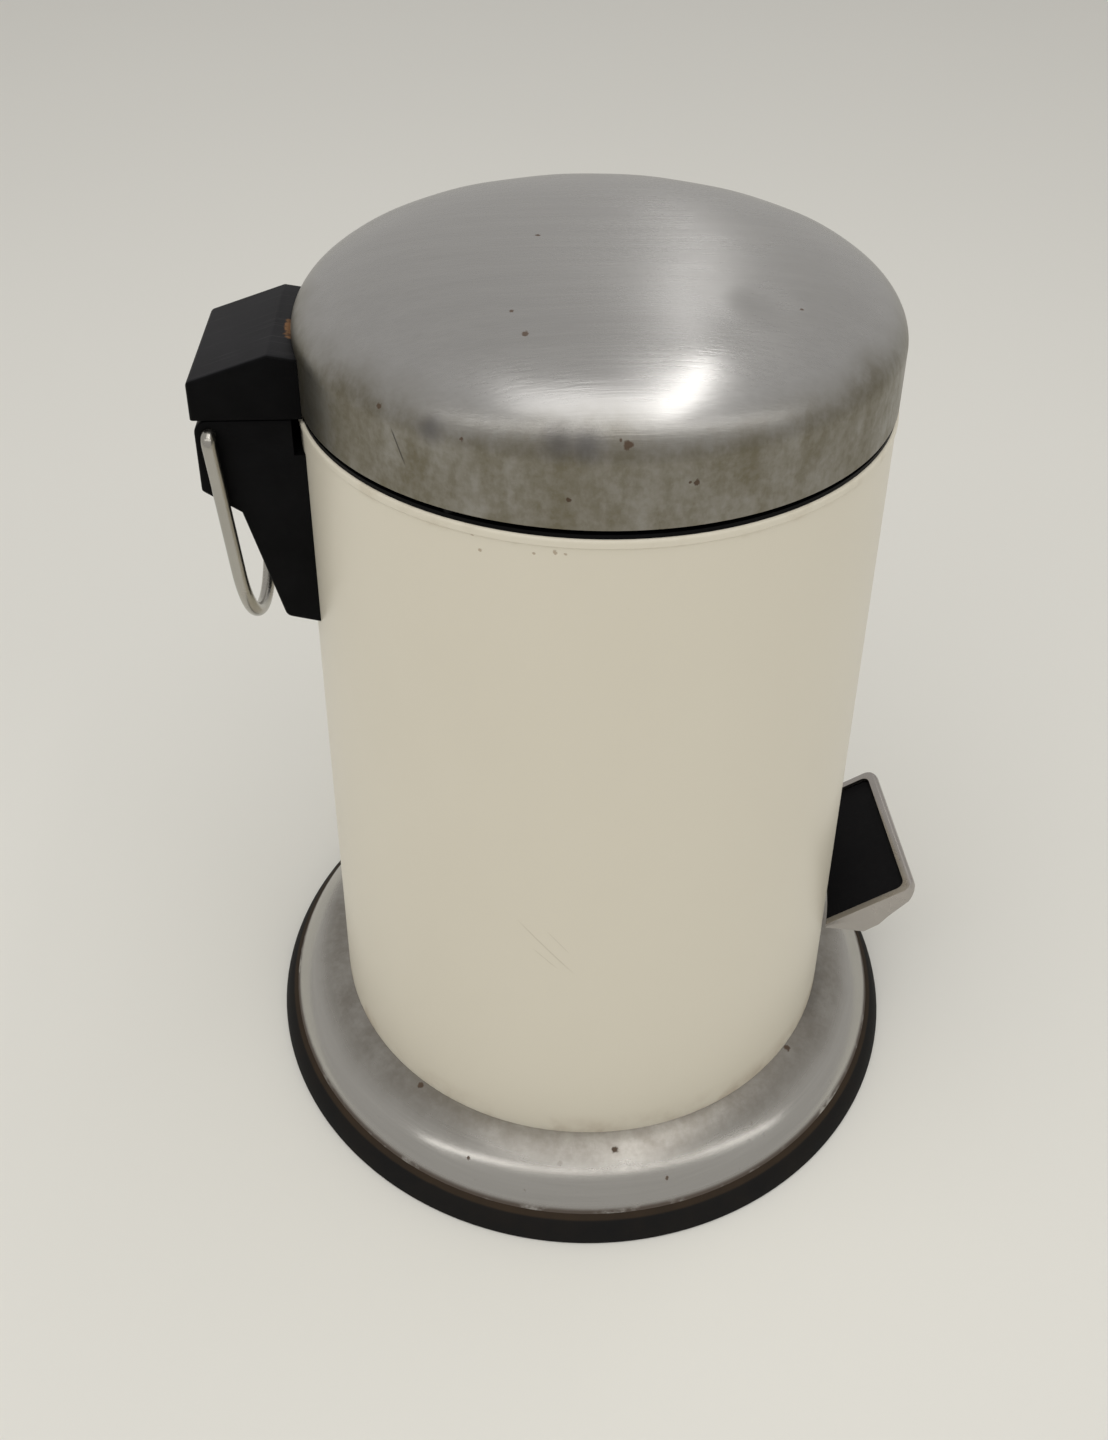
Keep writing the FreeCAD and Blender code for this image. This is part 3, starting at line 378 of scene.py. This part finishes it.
@dataclass(frozen=True)
class BrushedSteel:
    """Worn stainless: long brush lines, cloudy stains, rust specks and scratches.

    The brush lines run straight, unless rings gives noise cycles a millimetre across the rings and
    cycles a turn round them. The staining fades in from the height stain_and_shade_from to
    stain_and_shade_to and is stain_and_shade_most strong; its edge wanders by stain_and_shade_waver.
    On the lid it is real staining; on the skirt the darkening next to the wall is partly dirt and
    partly painted contact shade. Rust fades in over rust_fade below rust_below. Heights are in millimetres.
    """

    name: str
    colour: Colour = (0.455, 0.45, 0.445)
    stain_and_shade: Colour = (0.176, 0.157, 0.109)
    rust: Colour = (0.070, 0.038, 0.019)
    edge_dirt: Colour = (0.052, 0.032, 0.020)
    smudge: Colour = (0.13, 0.125, 0.13)
    cut: Colour = (0.06, 0.055, 0.05)
    roughness: float = 0.25
    brush: Point = (1250.0, 30.0, 1250.0)
    brush_depth: float = 0.00008
    rings: Pair = (0.0, 0.0)
    cloudy: float = 0.07
    stain_and_shade_from: float = 0.0
    stain_and_shade_to: float = 1.0
    stain_and_shade_most: float = 0.96
    stain_and_shade_waver: float = 0.0
    rust_below: float = 0.0
    rust_fade: float = 1.6
    specks: tuple[Mark, ...] = ()
    smudges: tuple[Mark, ...] = ()
    scratches: tuple[Cut, ...] = ()

    def brush_lines(self, tree: Tree) -> tuple[Socket, Socket]:
        """The fine and the broad brush lines, straight or in rings about Z."""
        if any(self.rings):
            across, around = self.rings
            lines = tree.noise_at(tree.turned(across, around), 3.0, 0.6, 0.0)
            return lines, tree.noise_at(tree.turned(across * 0.2, around * 0.5), 2.0, 0.5, 4.0)
        broad = tuple(value * 0.16 for value in self.brush)
        return tree.noise(self.brush, 3.0, 0.6), tree.noise(broad, 3.0, 0.6, 4.0)

    def material(self) -> bpy.types.Material:
        """Builds the steel: brushed metal, then stains, freckles, smudges, scratches and rust."""
        tree = Tree(self.name)
        _, _, z = tree.axes()
        lines, broad = self.brush_lines(tree)

        # Stain and painted shade: strong low down on the lid and next to the wall on the skirt, where the
        # darkening is partly painted contact shade; broken up by streaks and grit, with a faint cloud
        # elsewhere.
        cloud = tree.noise((26, 26, 26), 4.0, 0.6, 1.0)
        streaks = tree.noise((85, 85, 38), 5.0, 0.65, 7.0)
        grit = tree.noise((420, 420, 420), 3.0, 0.6, 11.0)
        low_down = (z + (cloud - 0.5) * self.stain_and_shade_waver).step(self.stain_and_shade_from, self.stain_and_shade_to)
        patchy = streaks.step(0.30, 0.62) * 0.34 + grit.step(0.35, 0.65) * 0.14 + 0.52
        stain_and_shade = low_down * patchy + cloud.step(0.50, 0.80) * self.cloudy
        tint = tree.shade(self.colour, lines * 0.14 + broad * 0.14 + 0.86)
        tint = tree.mix(stain_and_shade.low(1.0) * self.stain_and_shade_most, tint, self.stain_and_shade)

        # Freckles: fine rust dots that come only in some regions.
        freckles = tree.noise((260, 260, 260), 2.0, shift=6.0).step(0.67, 0.76)
        freckles = freckles * tree.noise((30, 30, 30), 2.0, shift=8.0).step(0.50, 0.64)
        tint = tree.mix(freckles * 0.28, tint, self.rust)
        rough = cloud * self.cloudy + lines * 0.06 + (self.roughness - 0.04) + stain_and_shade * 0.16
        height = lines * 0.7 + broad * 0.3
        metal = 1.0 - freckles * 0.5

        # Marks at stated places, then dirt and rust on the lower edge.
        if self.smudges:
            smudge = most([tree.spot(*item, ragged=0.2, core=0.0) for item in self.smudges])
            tint = tree.mix(smudge * 0.62, tint, self.smudge)
        if self.scratches:
            cuts = most([tree.scratch(*item) for item in self.scratches])
            tint = tree.mix(cuts * 0.75, tint, self.cut)
            height = height - cuts * 0.8
        if self.specks:
            specks = most([tree.spot(*item) for item in self.specks])
            tint = tree.mix(specks * 0.9, tint, self.rust)
            rough = rough + specks * 0.4
            metal = metal - specks * 0.8
        if self.rust_below > 0.0:
            edge = z.step(self.rust_below, self.rust_below - self.rust_fade)
            bloom = edge * tree.noise((110, 110, 220), 4.0, 0.65, 2.0).step(0.26, 0.48)
            tint = tree.mix(bloom * 0.92, tint, self.edge_dirt)
            rough = rough + bloom * 0.35
            metal = metal - bloom * 0.8
        shader = {"Base Color": tint, "Metallic": metal.high(0.0), "Roughness": rough}
        return tree.finish(shader, height, self.brush_depth)


@dataclass(frozen=True)
class PlainSteel:
    """Plated or polished steel with faint handling marks."""

    name: str
    colour: Colour = (0.58, 0.585, 0.59)
    handled: Colour = (0.34, 0.30, 0.25)
    roughness: float = 0.34
    grain: float = 700.0
    grain_depth: float = 0.00002

    def material(self) -> bpy.types.Material:
        """Builds the plating."""
        tree = Tree(self.name)
        fine = tree.noise((self.grain,) * 3, 3.0)
        cloud = tree.noise((60, 60, 60), 3.0, shift=2.0)
        tint = tree.shade(self.colour, cloud * 0.22 + 0.84)
        tint = tree.mix(cloud.step(0.62, 0.80) * 0.3, tint, self.handled)
        rough = fine * 0.12 + cloud * 0.10 + (self.roughness - 0.11)
        shader = {"Base Color": tint, "Metallic": 1.0, "Roughness": rough}
        return tree.finish(shader, fine, self.grain_depth)


@dataclass(frozen=True)
class MouldedBlack:
    """Moulded black plastic or rubber: fine grain, a dusty bloom, rubbed streaks and rust marks.

    The dusty top is above the height dusty_from and within dusty_half of the middle, in millimetres.
    """

    name: str
    colour: Colour = (0.0012, 0.0012, 0.0015)
    bloom: Colour = (0.024, 0.024, 0.027)
    rubbed: Colour = (0.06, 0.06, 0.063)
    roughness: float = 0.46
    specular: float = 0.07
    dusty_from: float = 1000.0
    dusty_half: float = 23.8
    grain: float = 2600.0
    grain_depth: float = 0.00003
    streak: Point = (0.0, 0.0, 0.0)
    rust_spots: tuple[Mark, ...] = ()
    rust: Colour = (0.21, 0.115, 0.06)

    def material(self) -> bpy.types.Material:
        """Builds the moulding."""
        tree = Tree(self.name)
        fine = tree.noise((self.grain,) * 3, 2.0)
        cloud = tree.noise((70, 70, 70), 4.0, 0.6, 1.0)
        x, _, z = tree.axes()
        within = (x * x).step(self.dusty_half**2, (self.dusty_half - 0.4) ** 2)
        on_top = z.step(self.dusty_from, self.dusty_from + 0.6) * within
        dust = cloud.step(0.30, 0.75) * 0.12 + on_top * (cloud * 0.5 + 0.45)
        tint = tree.mix(dust, self.colour, self.bloom)
        height = fine
        if any(self.streak):
            streaks = tree.noise(self.streak, 2.0, 0.6, 3.0).step(0.60, 0.74)
            tint = tree.mix(streaks * on_top * 0.5, tint, self.rubbed)
            height = height - streaks * 0.8
        rough = fine * 0.10 + cloud * 0.14 + (self.roughness - 0.1)
        if self.rust_spots:
            spots = most([tree.spot(*item) for item in self.rust_spots])
            flake = tree.noise((500, 500, 500), 3.0, shift=5.0).step(0.30, 0.55)
            tint = tree.mix(spots * (flake * 0.6 + 0.4), tint, self.rust)
            rough = rough + spots * 0.3
        shader = {"Base Color": tint, "Roughness": rough, "Specular IOR Level": self.specular}
        return tree.finish(shader, height, self.grain_depth)


# A Rule gives a height at each x and y.
Rule = Callable[[np.ndarray, np.ndarray], np.ndarray]


def ring_piece(name: str, points: np.ndarray) -> bpy.types.Object:
    """Makes a closed mesh from a grid of points that closes on itself in both directions.

    Quad (i, j) joins points (i, j), (i, j+1), (i+1, j+1) and (i+1, j). Rows that shrink to a point are
    merged into a pole.

    Args:
        name: The piece's name.
        points: An array of rows by columns by three, in millimetres.

    Returns:
        The object, at the origin.
    """
    rows, columns = points.shape[:2]
    index = np.arange(rows * columns).reshape(rows, columns)
    following = np.roll(index, -1, axis=0)
    quads = np.stack([index, np.roll(index, -1, axis=1), np.roll(following, -1, axis=1), following], axis=-1)
    mesh = bpy.data.meshes.new(name)
    mesh.from_pydata((points.reshape(-1, 3) * MM).tolist(), [], quads.reshape(-1, 4).tolist())
    shape = bmesh.new()
    shape.from_mesh(mesh)
    bmesh.ops.remove_doubles(shape, verts=shape.verts, dist=MERGE_DISTANCE)
    bmesh.ops.recalc_face_normals(shape, faces=shape.faces)
    shape.to_mesh(mesh)
    shape.free()
    mesh.shade_smooth()
    mesh.set_sharp_from_angle(angle=math.radians(CRISP_ANGLE))
    piece = bpy.data.objects.new(name, mesh)
    bpy.context.scene.collection.objects.link(piece)
    return piece


def spun(name: str, profile: np.ndarray, sectors: int, ripple: Rule) -> bpy.types.Object:
    """Turns a closed profile about Z: x = r cos a, y = r sin a, z = z + ripple(x, y).

    Args:
        name: The piece's name.
        profile: Closed loop of (radius, height) points in millimetres.
        sectors: Points round the turn.
        ripple: The height to add at each x and y.

    Returns:
        The piece.
    """
    turn = np.linspace(0.0, 2 * math.pi, sectors, endpoint=False)
    radius = profile[:, :1]
    x = radius * np.cos(turn)
    y = radius * np.sin(turn)
    z = profile[:, 1:] + ripple(x, y)
    return ring_piece(name, np.stack([x, y, z], axis=-1))


def arc(centre: Pair, radius: float, start: float, end: float, steps: int) -> np.ndarray:
    """Points of a circle: centre + radius (cos t, sin t) for t from start to end, in degrees."""
    angle = np.radians(np.linspace(start, end, steps))
    return np.stack([centre[0] + radius * np.cos(angle), centre[1] + radius * np.sin(angle)], axis=-1)


def line(start: Pair, end: Pair, steps: int) -> np.ndarray:
    """Evenly spaced points from start to end."""
    share = np.linspace(0.0, 1.0, steps)[:, None]
    return np.array(start) * (1 - share) + np.array(end) * share


def tidy_loop(*runs: np.ndarray) -> np.ndarray:
    """Joins runs into one loop and drops points that repeat."""
    loop = np.concatenate(runs)
    gap = np.linalg.norm(loop - np.roll(loop, 1, axis=0), axis=1)
    return loop[gap > 1e-4]


def skinned(name: str, node: str, width: float) -> bpy.types.Object:
    """Copies a CAD node's mesh, merges it and rounds its sharp edges with a live bevel.

    Args:
        name: The piece's name.
        node: The CAD node to copy.
        width: The bevel's width in millimetres.

    Returns:
        The piece, which still has to ride on a body.
    """
    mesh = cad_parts[node].data.copy()
    mesh.name = name
    mesh.materials.clear()
    shape = bmesh.new()
    shape.from_mesh(mesh)
    bmesh.ops.remove_doubles(shape, verts=shape.verts, dist=CAD_MERGE_DISTANCE)
    inner = [edge for edge in shape.edges if len(edge.link_faces) == 2]
    flat = [edge for edge in inner if edge.calc_face_angle(1.0) < FLAT_ANGLE]
    bmesh.ops.dissolve_edges(shape, edges=flat, use_verts=False)
    shape.to_mesh(mesh)
    shape.free()
    mesh.shade_smooth()
    piece = bpy.data.objects.new(name, mesh)
    bpy.context.scene.collection.objects.link(piece)
    bevel = piece.modifiers.new("rounding", "BEVEL")
    bevel.width = width * MM
    bevel.segments = BEVEL_FACES
    bevel.limit_method = "ANGLE"
    bevel.angle_limit = math.radians(BEVEL_ANGLE)
    bevel.harden_normals = True
    return piece


def dress(piece: bpy.types.Object, body: Body, material: bpy.types.Material,
          node: str) -> None:
    """Gives a new piece its material and body, and hides the CAD node that it stands for."""
    piece.data.materials.clear()
    piece.data.materials.append(material)
    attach(piece, body.value)
    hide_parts(node)
    log.info("%s: %d faces on %s", piece.name, len(piece.data.polygons), body.value)


def paint(nodes: Sequence[str], material: bpy.types.Material) -> None:
    """Gives CAD nodes that stay a better material."""
    for node in nodes:
        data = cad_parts[node].data
        data.materials.clear()
        data.materials.append(material)
        log.info("%s: finished in %s", node, material.name)


@dataclass
class Lid:
    """The domed lid, its arm and the black cap over the hinge. Sizes are in millimetres."""

    radius: float = 85.1
    edge: float = 248.4
    band_top: float = 266.1
    rise: float = 24.0
    across: float = 3.49
    upward: float = 1.873
    wall: float = 0.8
    hem: float = 1.8
    hem_height: float = 1.2
    sectors: int = 288
    dent_at: Pair = (-41.6, -40.1)
    dent_radius: float = 6.5
    dent_depth: float = 0.45
    dent_rim: float = 0.07
    wave_depth: float = 0.05
    flute_depth: float = 0.17
    flute_circle: float = 70.0
    flute_reach: float = 9.0
    cap_rounding: float = 0.35
    specks: tuple[Mark, ...] = (
        ((-1.1, 17.1, 290.0), 1.0),
        ((-45.2, 25.4, 287.7), 0.8),
        ((-55.0, 22.5, 286.1), 1.15),
        ((-83.7, -0.2, 271.0), 1.35),
        ((-82.9, 1.6, 272.2), 0.6),
        ((-83.4, -16.6, 260.6), 1.0),
        ((-83.9, -15.0, 261.0), 0.5),
        ((-84.0, 13.4, 257.0), 0.8),
        ((-40.8, -47.5, 285.2), 0.7),
        ((-61.0, 58.0, 270.5), 0.9),
        ((-75.2, 38.0, 268.8), 0.7),
    )
    smudges: tuple[Mark, ...] = (
        ((-83.2, 9.5, 270.9), 6.5),
        ((-82.4, 15.5, 271.3), 7.0),
        ((-71.2, 45.5, 269.2), 5.5),
    )
    scratches: tuple[Cut, ...] = (
        ((-64.6, 55.4, 267.3), (-67.6, 51.6, 256.6), 0.20),
        ((-48.0, 33.0, 286.9), (-41.0, 31.0, 288.2), 0.12),
        ((-58.0, 26.0, 285.2), (-52.0, 30.5, 286.0), 0.10),
        ((-30.0, -12.0, 289.5), (-34.0, -4.0, 289.2), 0.09),
    )
    cap_rust: tuple[Mark, ...] = (
        ((-1.0, 85.4, 265.9), 1.7),
        ((-3.5, 85.3, 265.8), 2.1),
        ((-6.0, 85.1, 265.7), 2.0),
        ((-8.5, 84.9, 265.6), 1.9),
        ((-11.0, 84.7, 265.5), 1.5),
    )

    def height(self, radius: np.ndarray, inset: float) -> np.ndarray:
        """The crown's height over a radius.

        (r / R)^across + (z / rise)^upward = 1 above the band, with R and rise less by inset.
        """
        share = np.clip(radius / (self.radius - inset), 0.0, 1.0)
        return self.band_top + (self.rise - inset) * (1.0 - share**self.across) ** (1.0 / self.upward)

    def crown(self, inset: float, steps: int) -> np.ndarray:
        """The crown's outline from the middle to the band, with points crowded at the shoulder.

        The radius is R (1 - (1 - t)^2.6), with t from 0 to 1.
        """
        travel = np.linspace(0.0, 1.0, steps)
        radius = (self.radius - inset) * (1.0 - (1.0 - travel) ** 2.6)
        return np.stack([radius, self.height(radius, inset)], axis=-1)

    def ripple(self, x: np.ndarray, y: np.ndarray) -> np.ndarray:
        """The crown's unevenness: one round dent, a slow wave, and shallow flutes at the shoulder.

        The dent is -depth exp(-(d / r)^2) with a faint raised ring round it. The flutes are a sine of
        the turn, under a bell curve of the radius.
        """
        away = np.hypot(x - self.dent_at[0], y - self.dent_at[1]) / self.dent_radius
        dent = -self.dent_depth * np.exp(-(away**2)) + self.dent_rim * np.exp(-((away - 1.7) ** 2) * 3)
        radius = np.hypot(x, y)
        fade = np.clip((self.radius - 3.0 - radius) / 25.0, 0.0, 1.0)
        wave = self.wave_depth * (np.sin(x / 11.0 + 0.6) * np.cos(y / 14.0) - 1.0) * fade
        turn = np.arctan2(y, x)
        shoulder = np.exp(-(((radius - self.flute_circle) / self.flute_reach) ** 2))
        shoulder = shoulder * np.clip((83.0 - radius) / 6.0, 0.0, 1.0)
        flutes = self.flute_depth * (np.sin(11 * turn + 1.2) * np.sin(4 * turn) - 1.0) * shoulder
        return dent * np.clip((self.radius - 1.0 - radius) / 4.0, 0.0, 1.0) + wave + flutes

    def build_shell(self) -> bpy.types.Object:
        """Makes the spun lid with its folded hem."""
        outside, inside = self.radius, self.radius - self.wall
        hem_in, hem_top = self.radius - self.hem, self.edge + self.hem_height
        profile = tidy_loop(
            self.crown(0.0, 110),
            line((outside, self.band_top), (outside, self.edge + 0.6), 24),
            arc((outside - 0.6, self.edge + 0.6), 0.6, 0, -90, 8),
            arc((hem_in + 0.5, self.edge + 0.5), 0.5, -90, -180, 6),
            arc((hem_in + 0.4, hem_top - 0.4), 0.4, 180, 90, 5),
            line((inside, hem_top), (inside, self.band_top), 12),
            self.crown(self.wall, 60)[::-1],
        )
        return spun("lid_shell", profile, self.sectors, self.ripple)

    def make(self) -> None:
        """Builds the dome and the cap and dresses everything that turns with the lid."""
        steel = BrushedSteel(
            "brushed_lid", stain_and_shade_from=279.5, stain_and_shade_to=266.5, stain_and_shade_waver=16.0, specks=self.specks,
            smudges=self.smudges, scratches=self.scratches).material()
        dress(self.build_shell(), Body.LID, steel, "lid_dome")
        cap = MouldedBlack(
            "cap_black", roughness=0.5, streak=(1400.0, 18.0, 30.0), dusty_from=258.2,
            rust_spots=self.cap_rust).material()
        dress(skinned("cap_shell", "hinge_cap", self.cap_rounding), Body.LID, cap, "hinge_cap")
        plated = PlainSteel("lid_fittings").material()
        paint(["lid_arm", "lid_rivets", "cap_screws"], plated)


@dataclass
class Can:
    """The shell with its collar, base and hinge bracket. Sizes are in millimetres."""

    bracket_rounding: float = 0.3
    skirt_specks: tuple[Mark, ...] = (
        ((-90.3, -4.1, 19.4), 1.3),
        ((-64.6, 57.5, 20.7), 1.2),
        ((-56.2, -65.3, 20.7), 1.3),
        ((-74.0, 60.0, 16.0), 0.9),
        ((-97.0, -20.0, 14.0), 0.8),
        ((-88.0, 42.0, 15.0), 0.8),
        ((-98.5, 24.5, 12.5), 0.7),
    )

    def make(self) -> None:
        """Builds the bracket's skin and dresses the fixed pieces."""
        paint(["body_shell"], CreamPaint().material())
        # The skirt darkens towards the wall above it: partly dirt and partly painted contact shade.
        satin = BrushedSteel(
            "satin_skirt", colour=(0.475, 0.463, 0.437), stain_and_shade=(0.165, 0.145, 0.12), roughness=0.18,
            rings=(1.9, 3.0), cloudy=0.06, brush_depth=0.000006, stain_and_shade_from=14.5, stain_and_shade_to=20.5,
            stain_and_shade_most=0.68, stain_and_shade_waver=4.0, rust_below=10.0, specks=self.skirt_specks).material()
        paint(["base_skirt"], satin)
        rubber = MouldedBlack(
            "foot_rubber", colour=(0.0105, 0.0105, 0.0107), bloom=(0.045, 0.031, 0.020), roughness=0.6,
            dusty_from=6.4, dusty_half=200.0, grain=1500.0).material()
        paint(["foot_ring"], rubber)
        black = MouldedBlack("inner_black").material()
        paint(["base_pan", "rod_guide", "top_collar", "lid_bumpers"], black)
        bracket = MouldedBlack("bracket_black", roughness=0.5).material()
        skin = skinned("bracket_shell", "hinge_bracket", self.bracket_rounding)
        dress(skin, Body.CAN, bracket, "hinge_bracket")
        plated = PlainSteel("can_fittings").material()
        paint(["base_screws", "bracket_screws", "hinge_pin"], plated)
        paint(["pivot_bracket", "pivot_rivets", "pedal_pin"], plated)


@dataclass
class Pedal:
    """The steel tray with its rubber pad, on the lever. Sizes are in millimetres."""

    tray_rounding: float = 0.55
    pad_rounding: float = 0.4

    def make(self) -> None:
        """Builds and dresses the pieces that rock with the pedal."""
        steel = BrushedSteel(
            "pedal_steel", colour=(0.43, 0.405, 0.385), roughness=0.24, brush=(300.0, 300.0, 300.0),
            brush_depth=0.000004, stain_and_shade_from=0.0, stain_and_shade_to=-1.0).material()
        tray = skinned("tray_shell", "pedal_tray", self.tray_rounding)
        dress(tray, Body.PEDAL, steel, "pedal_tray")
        rubber = MouldedBlack(
            "pad_rubber", colour=(0.0068, 0.0068, 0.0079), bloom=(0.013, 0.013, 0.015), roughness=0.62,
            grain=1300.0, grain_depth=0.00008).material()
        pad = skinned("pad_top", "pedal_pad", self.pad_rounding)
        dress(pad, Body.PEDAL, rubber, "pedal_pad")
        paint(["pedal_arm", "pedal_rivets"], PlainSteel("pedal_fittings").material())


@dataclass
class Loose:
    """The pieces that move on their own: push rod, bucket and the two wire handles."""

    def make(self) -> None:
        """Dresses the wires, the rod and the bucket."""
        paint(["push_rod"], PlainSteel("rod_steel").material())
        paint(["rod_tip", "rod_foot"], MouldedBlack("rod_black").material())
        wire = PlainSteel("wire_steel", colour=(0.45, 0.435, 0.40), roughness=0.25, grain=500.0)
        paint(["carry_handle", "bucket_handle"], wire.material())
        moulding = MouldedBlack("bucket_black", colour=(0.010, 0.010, 0.011), roughness=0.38)
        paint(["inner_bucket"], moulding.material())


@dataclass(frozen=True)
class Lamp:
    """A soft rectangular lamp that faces the middle of the object. Lengths are in metres.

    Its second size runs along long_way. A lamp may be left out of what matt or shiny surfaces show.
    """

    name: str
    place: Point
    long_way: Point
    size: Pair
    power: float
    on_matt: bool = True
    on_shiny: bool = True

    def hang(self, middle: Point, colour: Colour) -> None:
        """Puts the lamp in the scene, facing the middle."""
        data = bpy.data.lights.new(self.name, "AREA")
        data.shape = "RECTANGLE"
        data.size, data.size_y = self.size
        data.energy = self.power
        data.color = colour
        lamp = bpy.data.objects.new(self.name, data)
        lamp.visible_diffuse = self.on_matt
        lamp.visible_glossy = self.on_shiny
        away = (Vector(self.place) - Vector(middle)).normalized()
        side = Vector(self.long_way).cross(away).normalized()
        turn = Matrix((side, away.cross(side), away)).transposed().to_4x4()
        lamp.matrix_world = Matrix.Translation(self.place) @ turn
        bpy.context.scene.collection.objects.link(lamp)


@dataclass
class Studio:
    """The floor, the light and the camera. Lengths are in metres, the lens in millimetres."""

    eye: Point = (-0.3722, 0.0335, 0.4349)
    forward: Point = (0.8514, -0.0543, -0.5218)
    roll: float = 0.013
    lens: float = 36.33
    sensor: float = 36.0
    shift: Pair = (-0.0052, -0.156)
    nearest: float = 0.01
    floor_colour: Colour = (0.83, 0.826, 0.785)
    floor_shade: float = 0.97
    floor_roughness: float = 0.55
    floor_reach: float = 6.0
    sky_colour: Colour = (1.0, 0.975, 0.935)
    sky_strength: float = 0.54
    lamp_colour: Colour = (1.0, 0.985, 0.96)
    middle: Point = (0.0, 0.0, 0.2)
    lamps: tuple[Lamp, ...] = (
        Lamp("key", (-0.12, -0.36, 1.39), (1, 0, 0), (0.11, 1.2), 2.2),
        Lamp("left_glow", (-0.35, 0.10, 1.5), (1, -0.3, 0), (0.75, 0.8), 2.1, on_matt=False),
        Lamp("far_strip", (0.85, -0.26, 1.03), (-0.6, -0.1, 0.6), (0.10, 0.85), 0.3, on_matt=False),
        Lamp("behind_camera", (-0.86, -0.10, 1.2), (0, 1, 0), (0.10, 3.6), 3.1),
        Lamp("soft_top", (-0.55, 0.5, 1.7), (0, 1, 0), (1.5, 1.5), 8.0, on_shiny=False),
    )

    def camera(self) -> None:
        """Places the camera: its axes are the view direction, and the level ones turned by the roll."""
        ahead = Vector(self.forward).normalized()
        level = ahead.cross(Vector((0, 0, 1))).normalized()
        over = level.cross(ahead)
        right = level * math.cos(self.roll) + over * math.sin(self.roll)
        above = over * math.cos(self.roll) - level * math.sin(self.roll)
        data = bpy.data.cameras.new("camera")
        data.lens = self.lens
        data.sensor_width = self.sensor
        data.shift_x, data.shift_y = self.shift
        data.clip_start = self.nearest
        camera = bpy.data.objects.new("camera", data)
        turn = Matrix((right, above, -ahead)).transposed().to_4x4()
        camera.matrix_world = Matrix.Translation(self.eye) @ turn
        bpy.context.scene.collection.objects.link(camera)
        bpy.context.scene.camera = camera

    def floor(self) -> None:
        """Makes the plain pale floor."""
        tree = Tree("floor_paint")
        cloud = tree.noise((2, 2, 2), 2.0)
        darker = tuple(value * self.floor_shade for value in self.floor_colour)
        tint = tree.mix(cloud, self.floor_colour, darker)
        material = tree.finish({"Base Color": tint, "Roughness": self.floor_roughness})
        mesh = bpy.data.meshes.new("floor")
        reach = self.floor_reach
        corners = [(-reach, -reach, 0), (reach, -reach, 0), (reach, reach, 0), (-reach, reach, 0)]
        mesh.from_pydata(corners, [], [(0, 1, 2, 3)])
        mesh.materials.append(material)
        floor = bpy.data.objects.new("floor", mesh)
        bpy.context.scene.collection.objects.link(floor)

    def sky(self) -> None:
        """Fills the surroundings with one pale colour."""
        world = bpy.data.worlds.new("studio")
        world.use_nodes = True
        background = world.node_tree.nodes["Background"]
        background.inputs[0].default_value = (*self.sky_colour, 1.0)
        background.inputs[1].default_value = self.sky_strength
        bpy.context.scene.world = world
        bpy.context.scene.view_settings.view_transform = "Standard"

    def make(self) -> None:
        """Sets up the whole studio."""
        self.camera()
        self.floor()
        self.sky()
        for lamp in self.lamps:
            lamp.hang(self.middle, self.lamp_colour)


def main() -> None:
    """Builds the scene in order."""
    logging.basicConfig(level=logging.INFO, format="%(message)s")
    Studio().make()
    for part in (Can(), Lid(), Pedal(), Loose()):
        part.make()


if __name__ == "__main__":
    main()
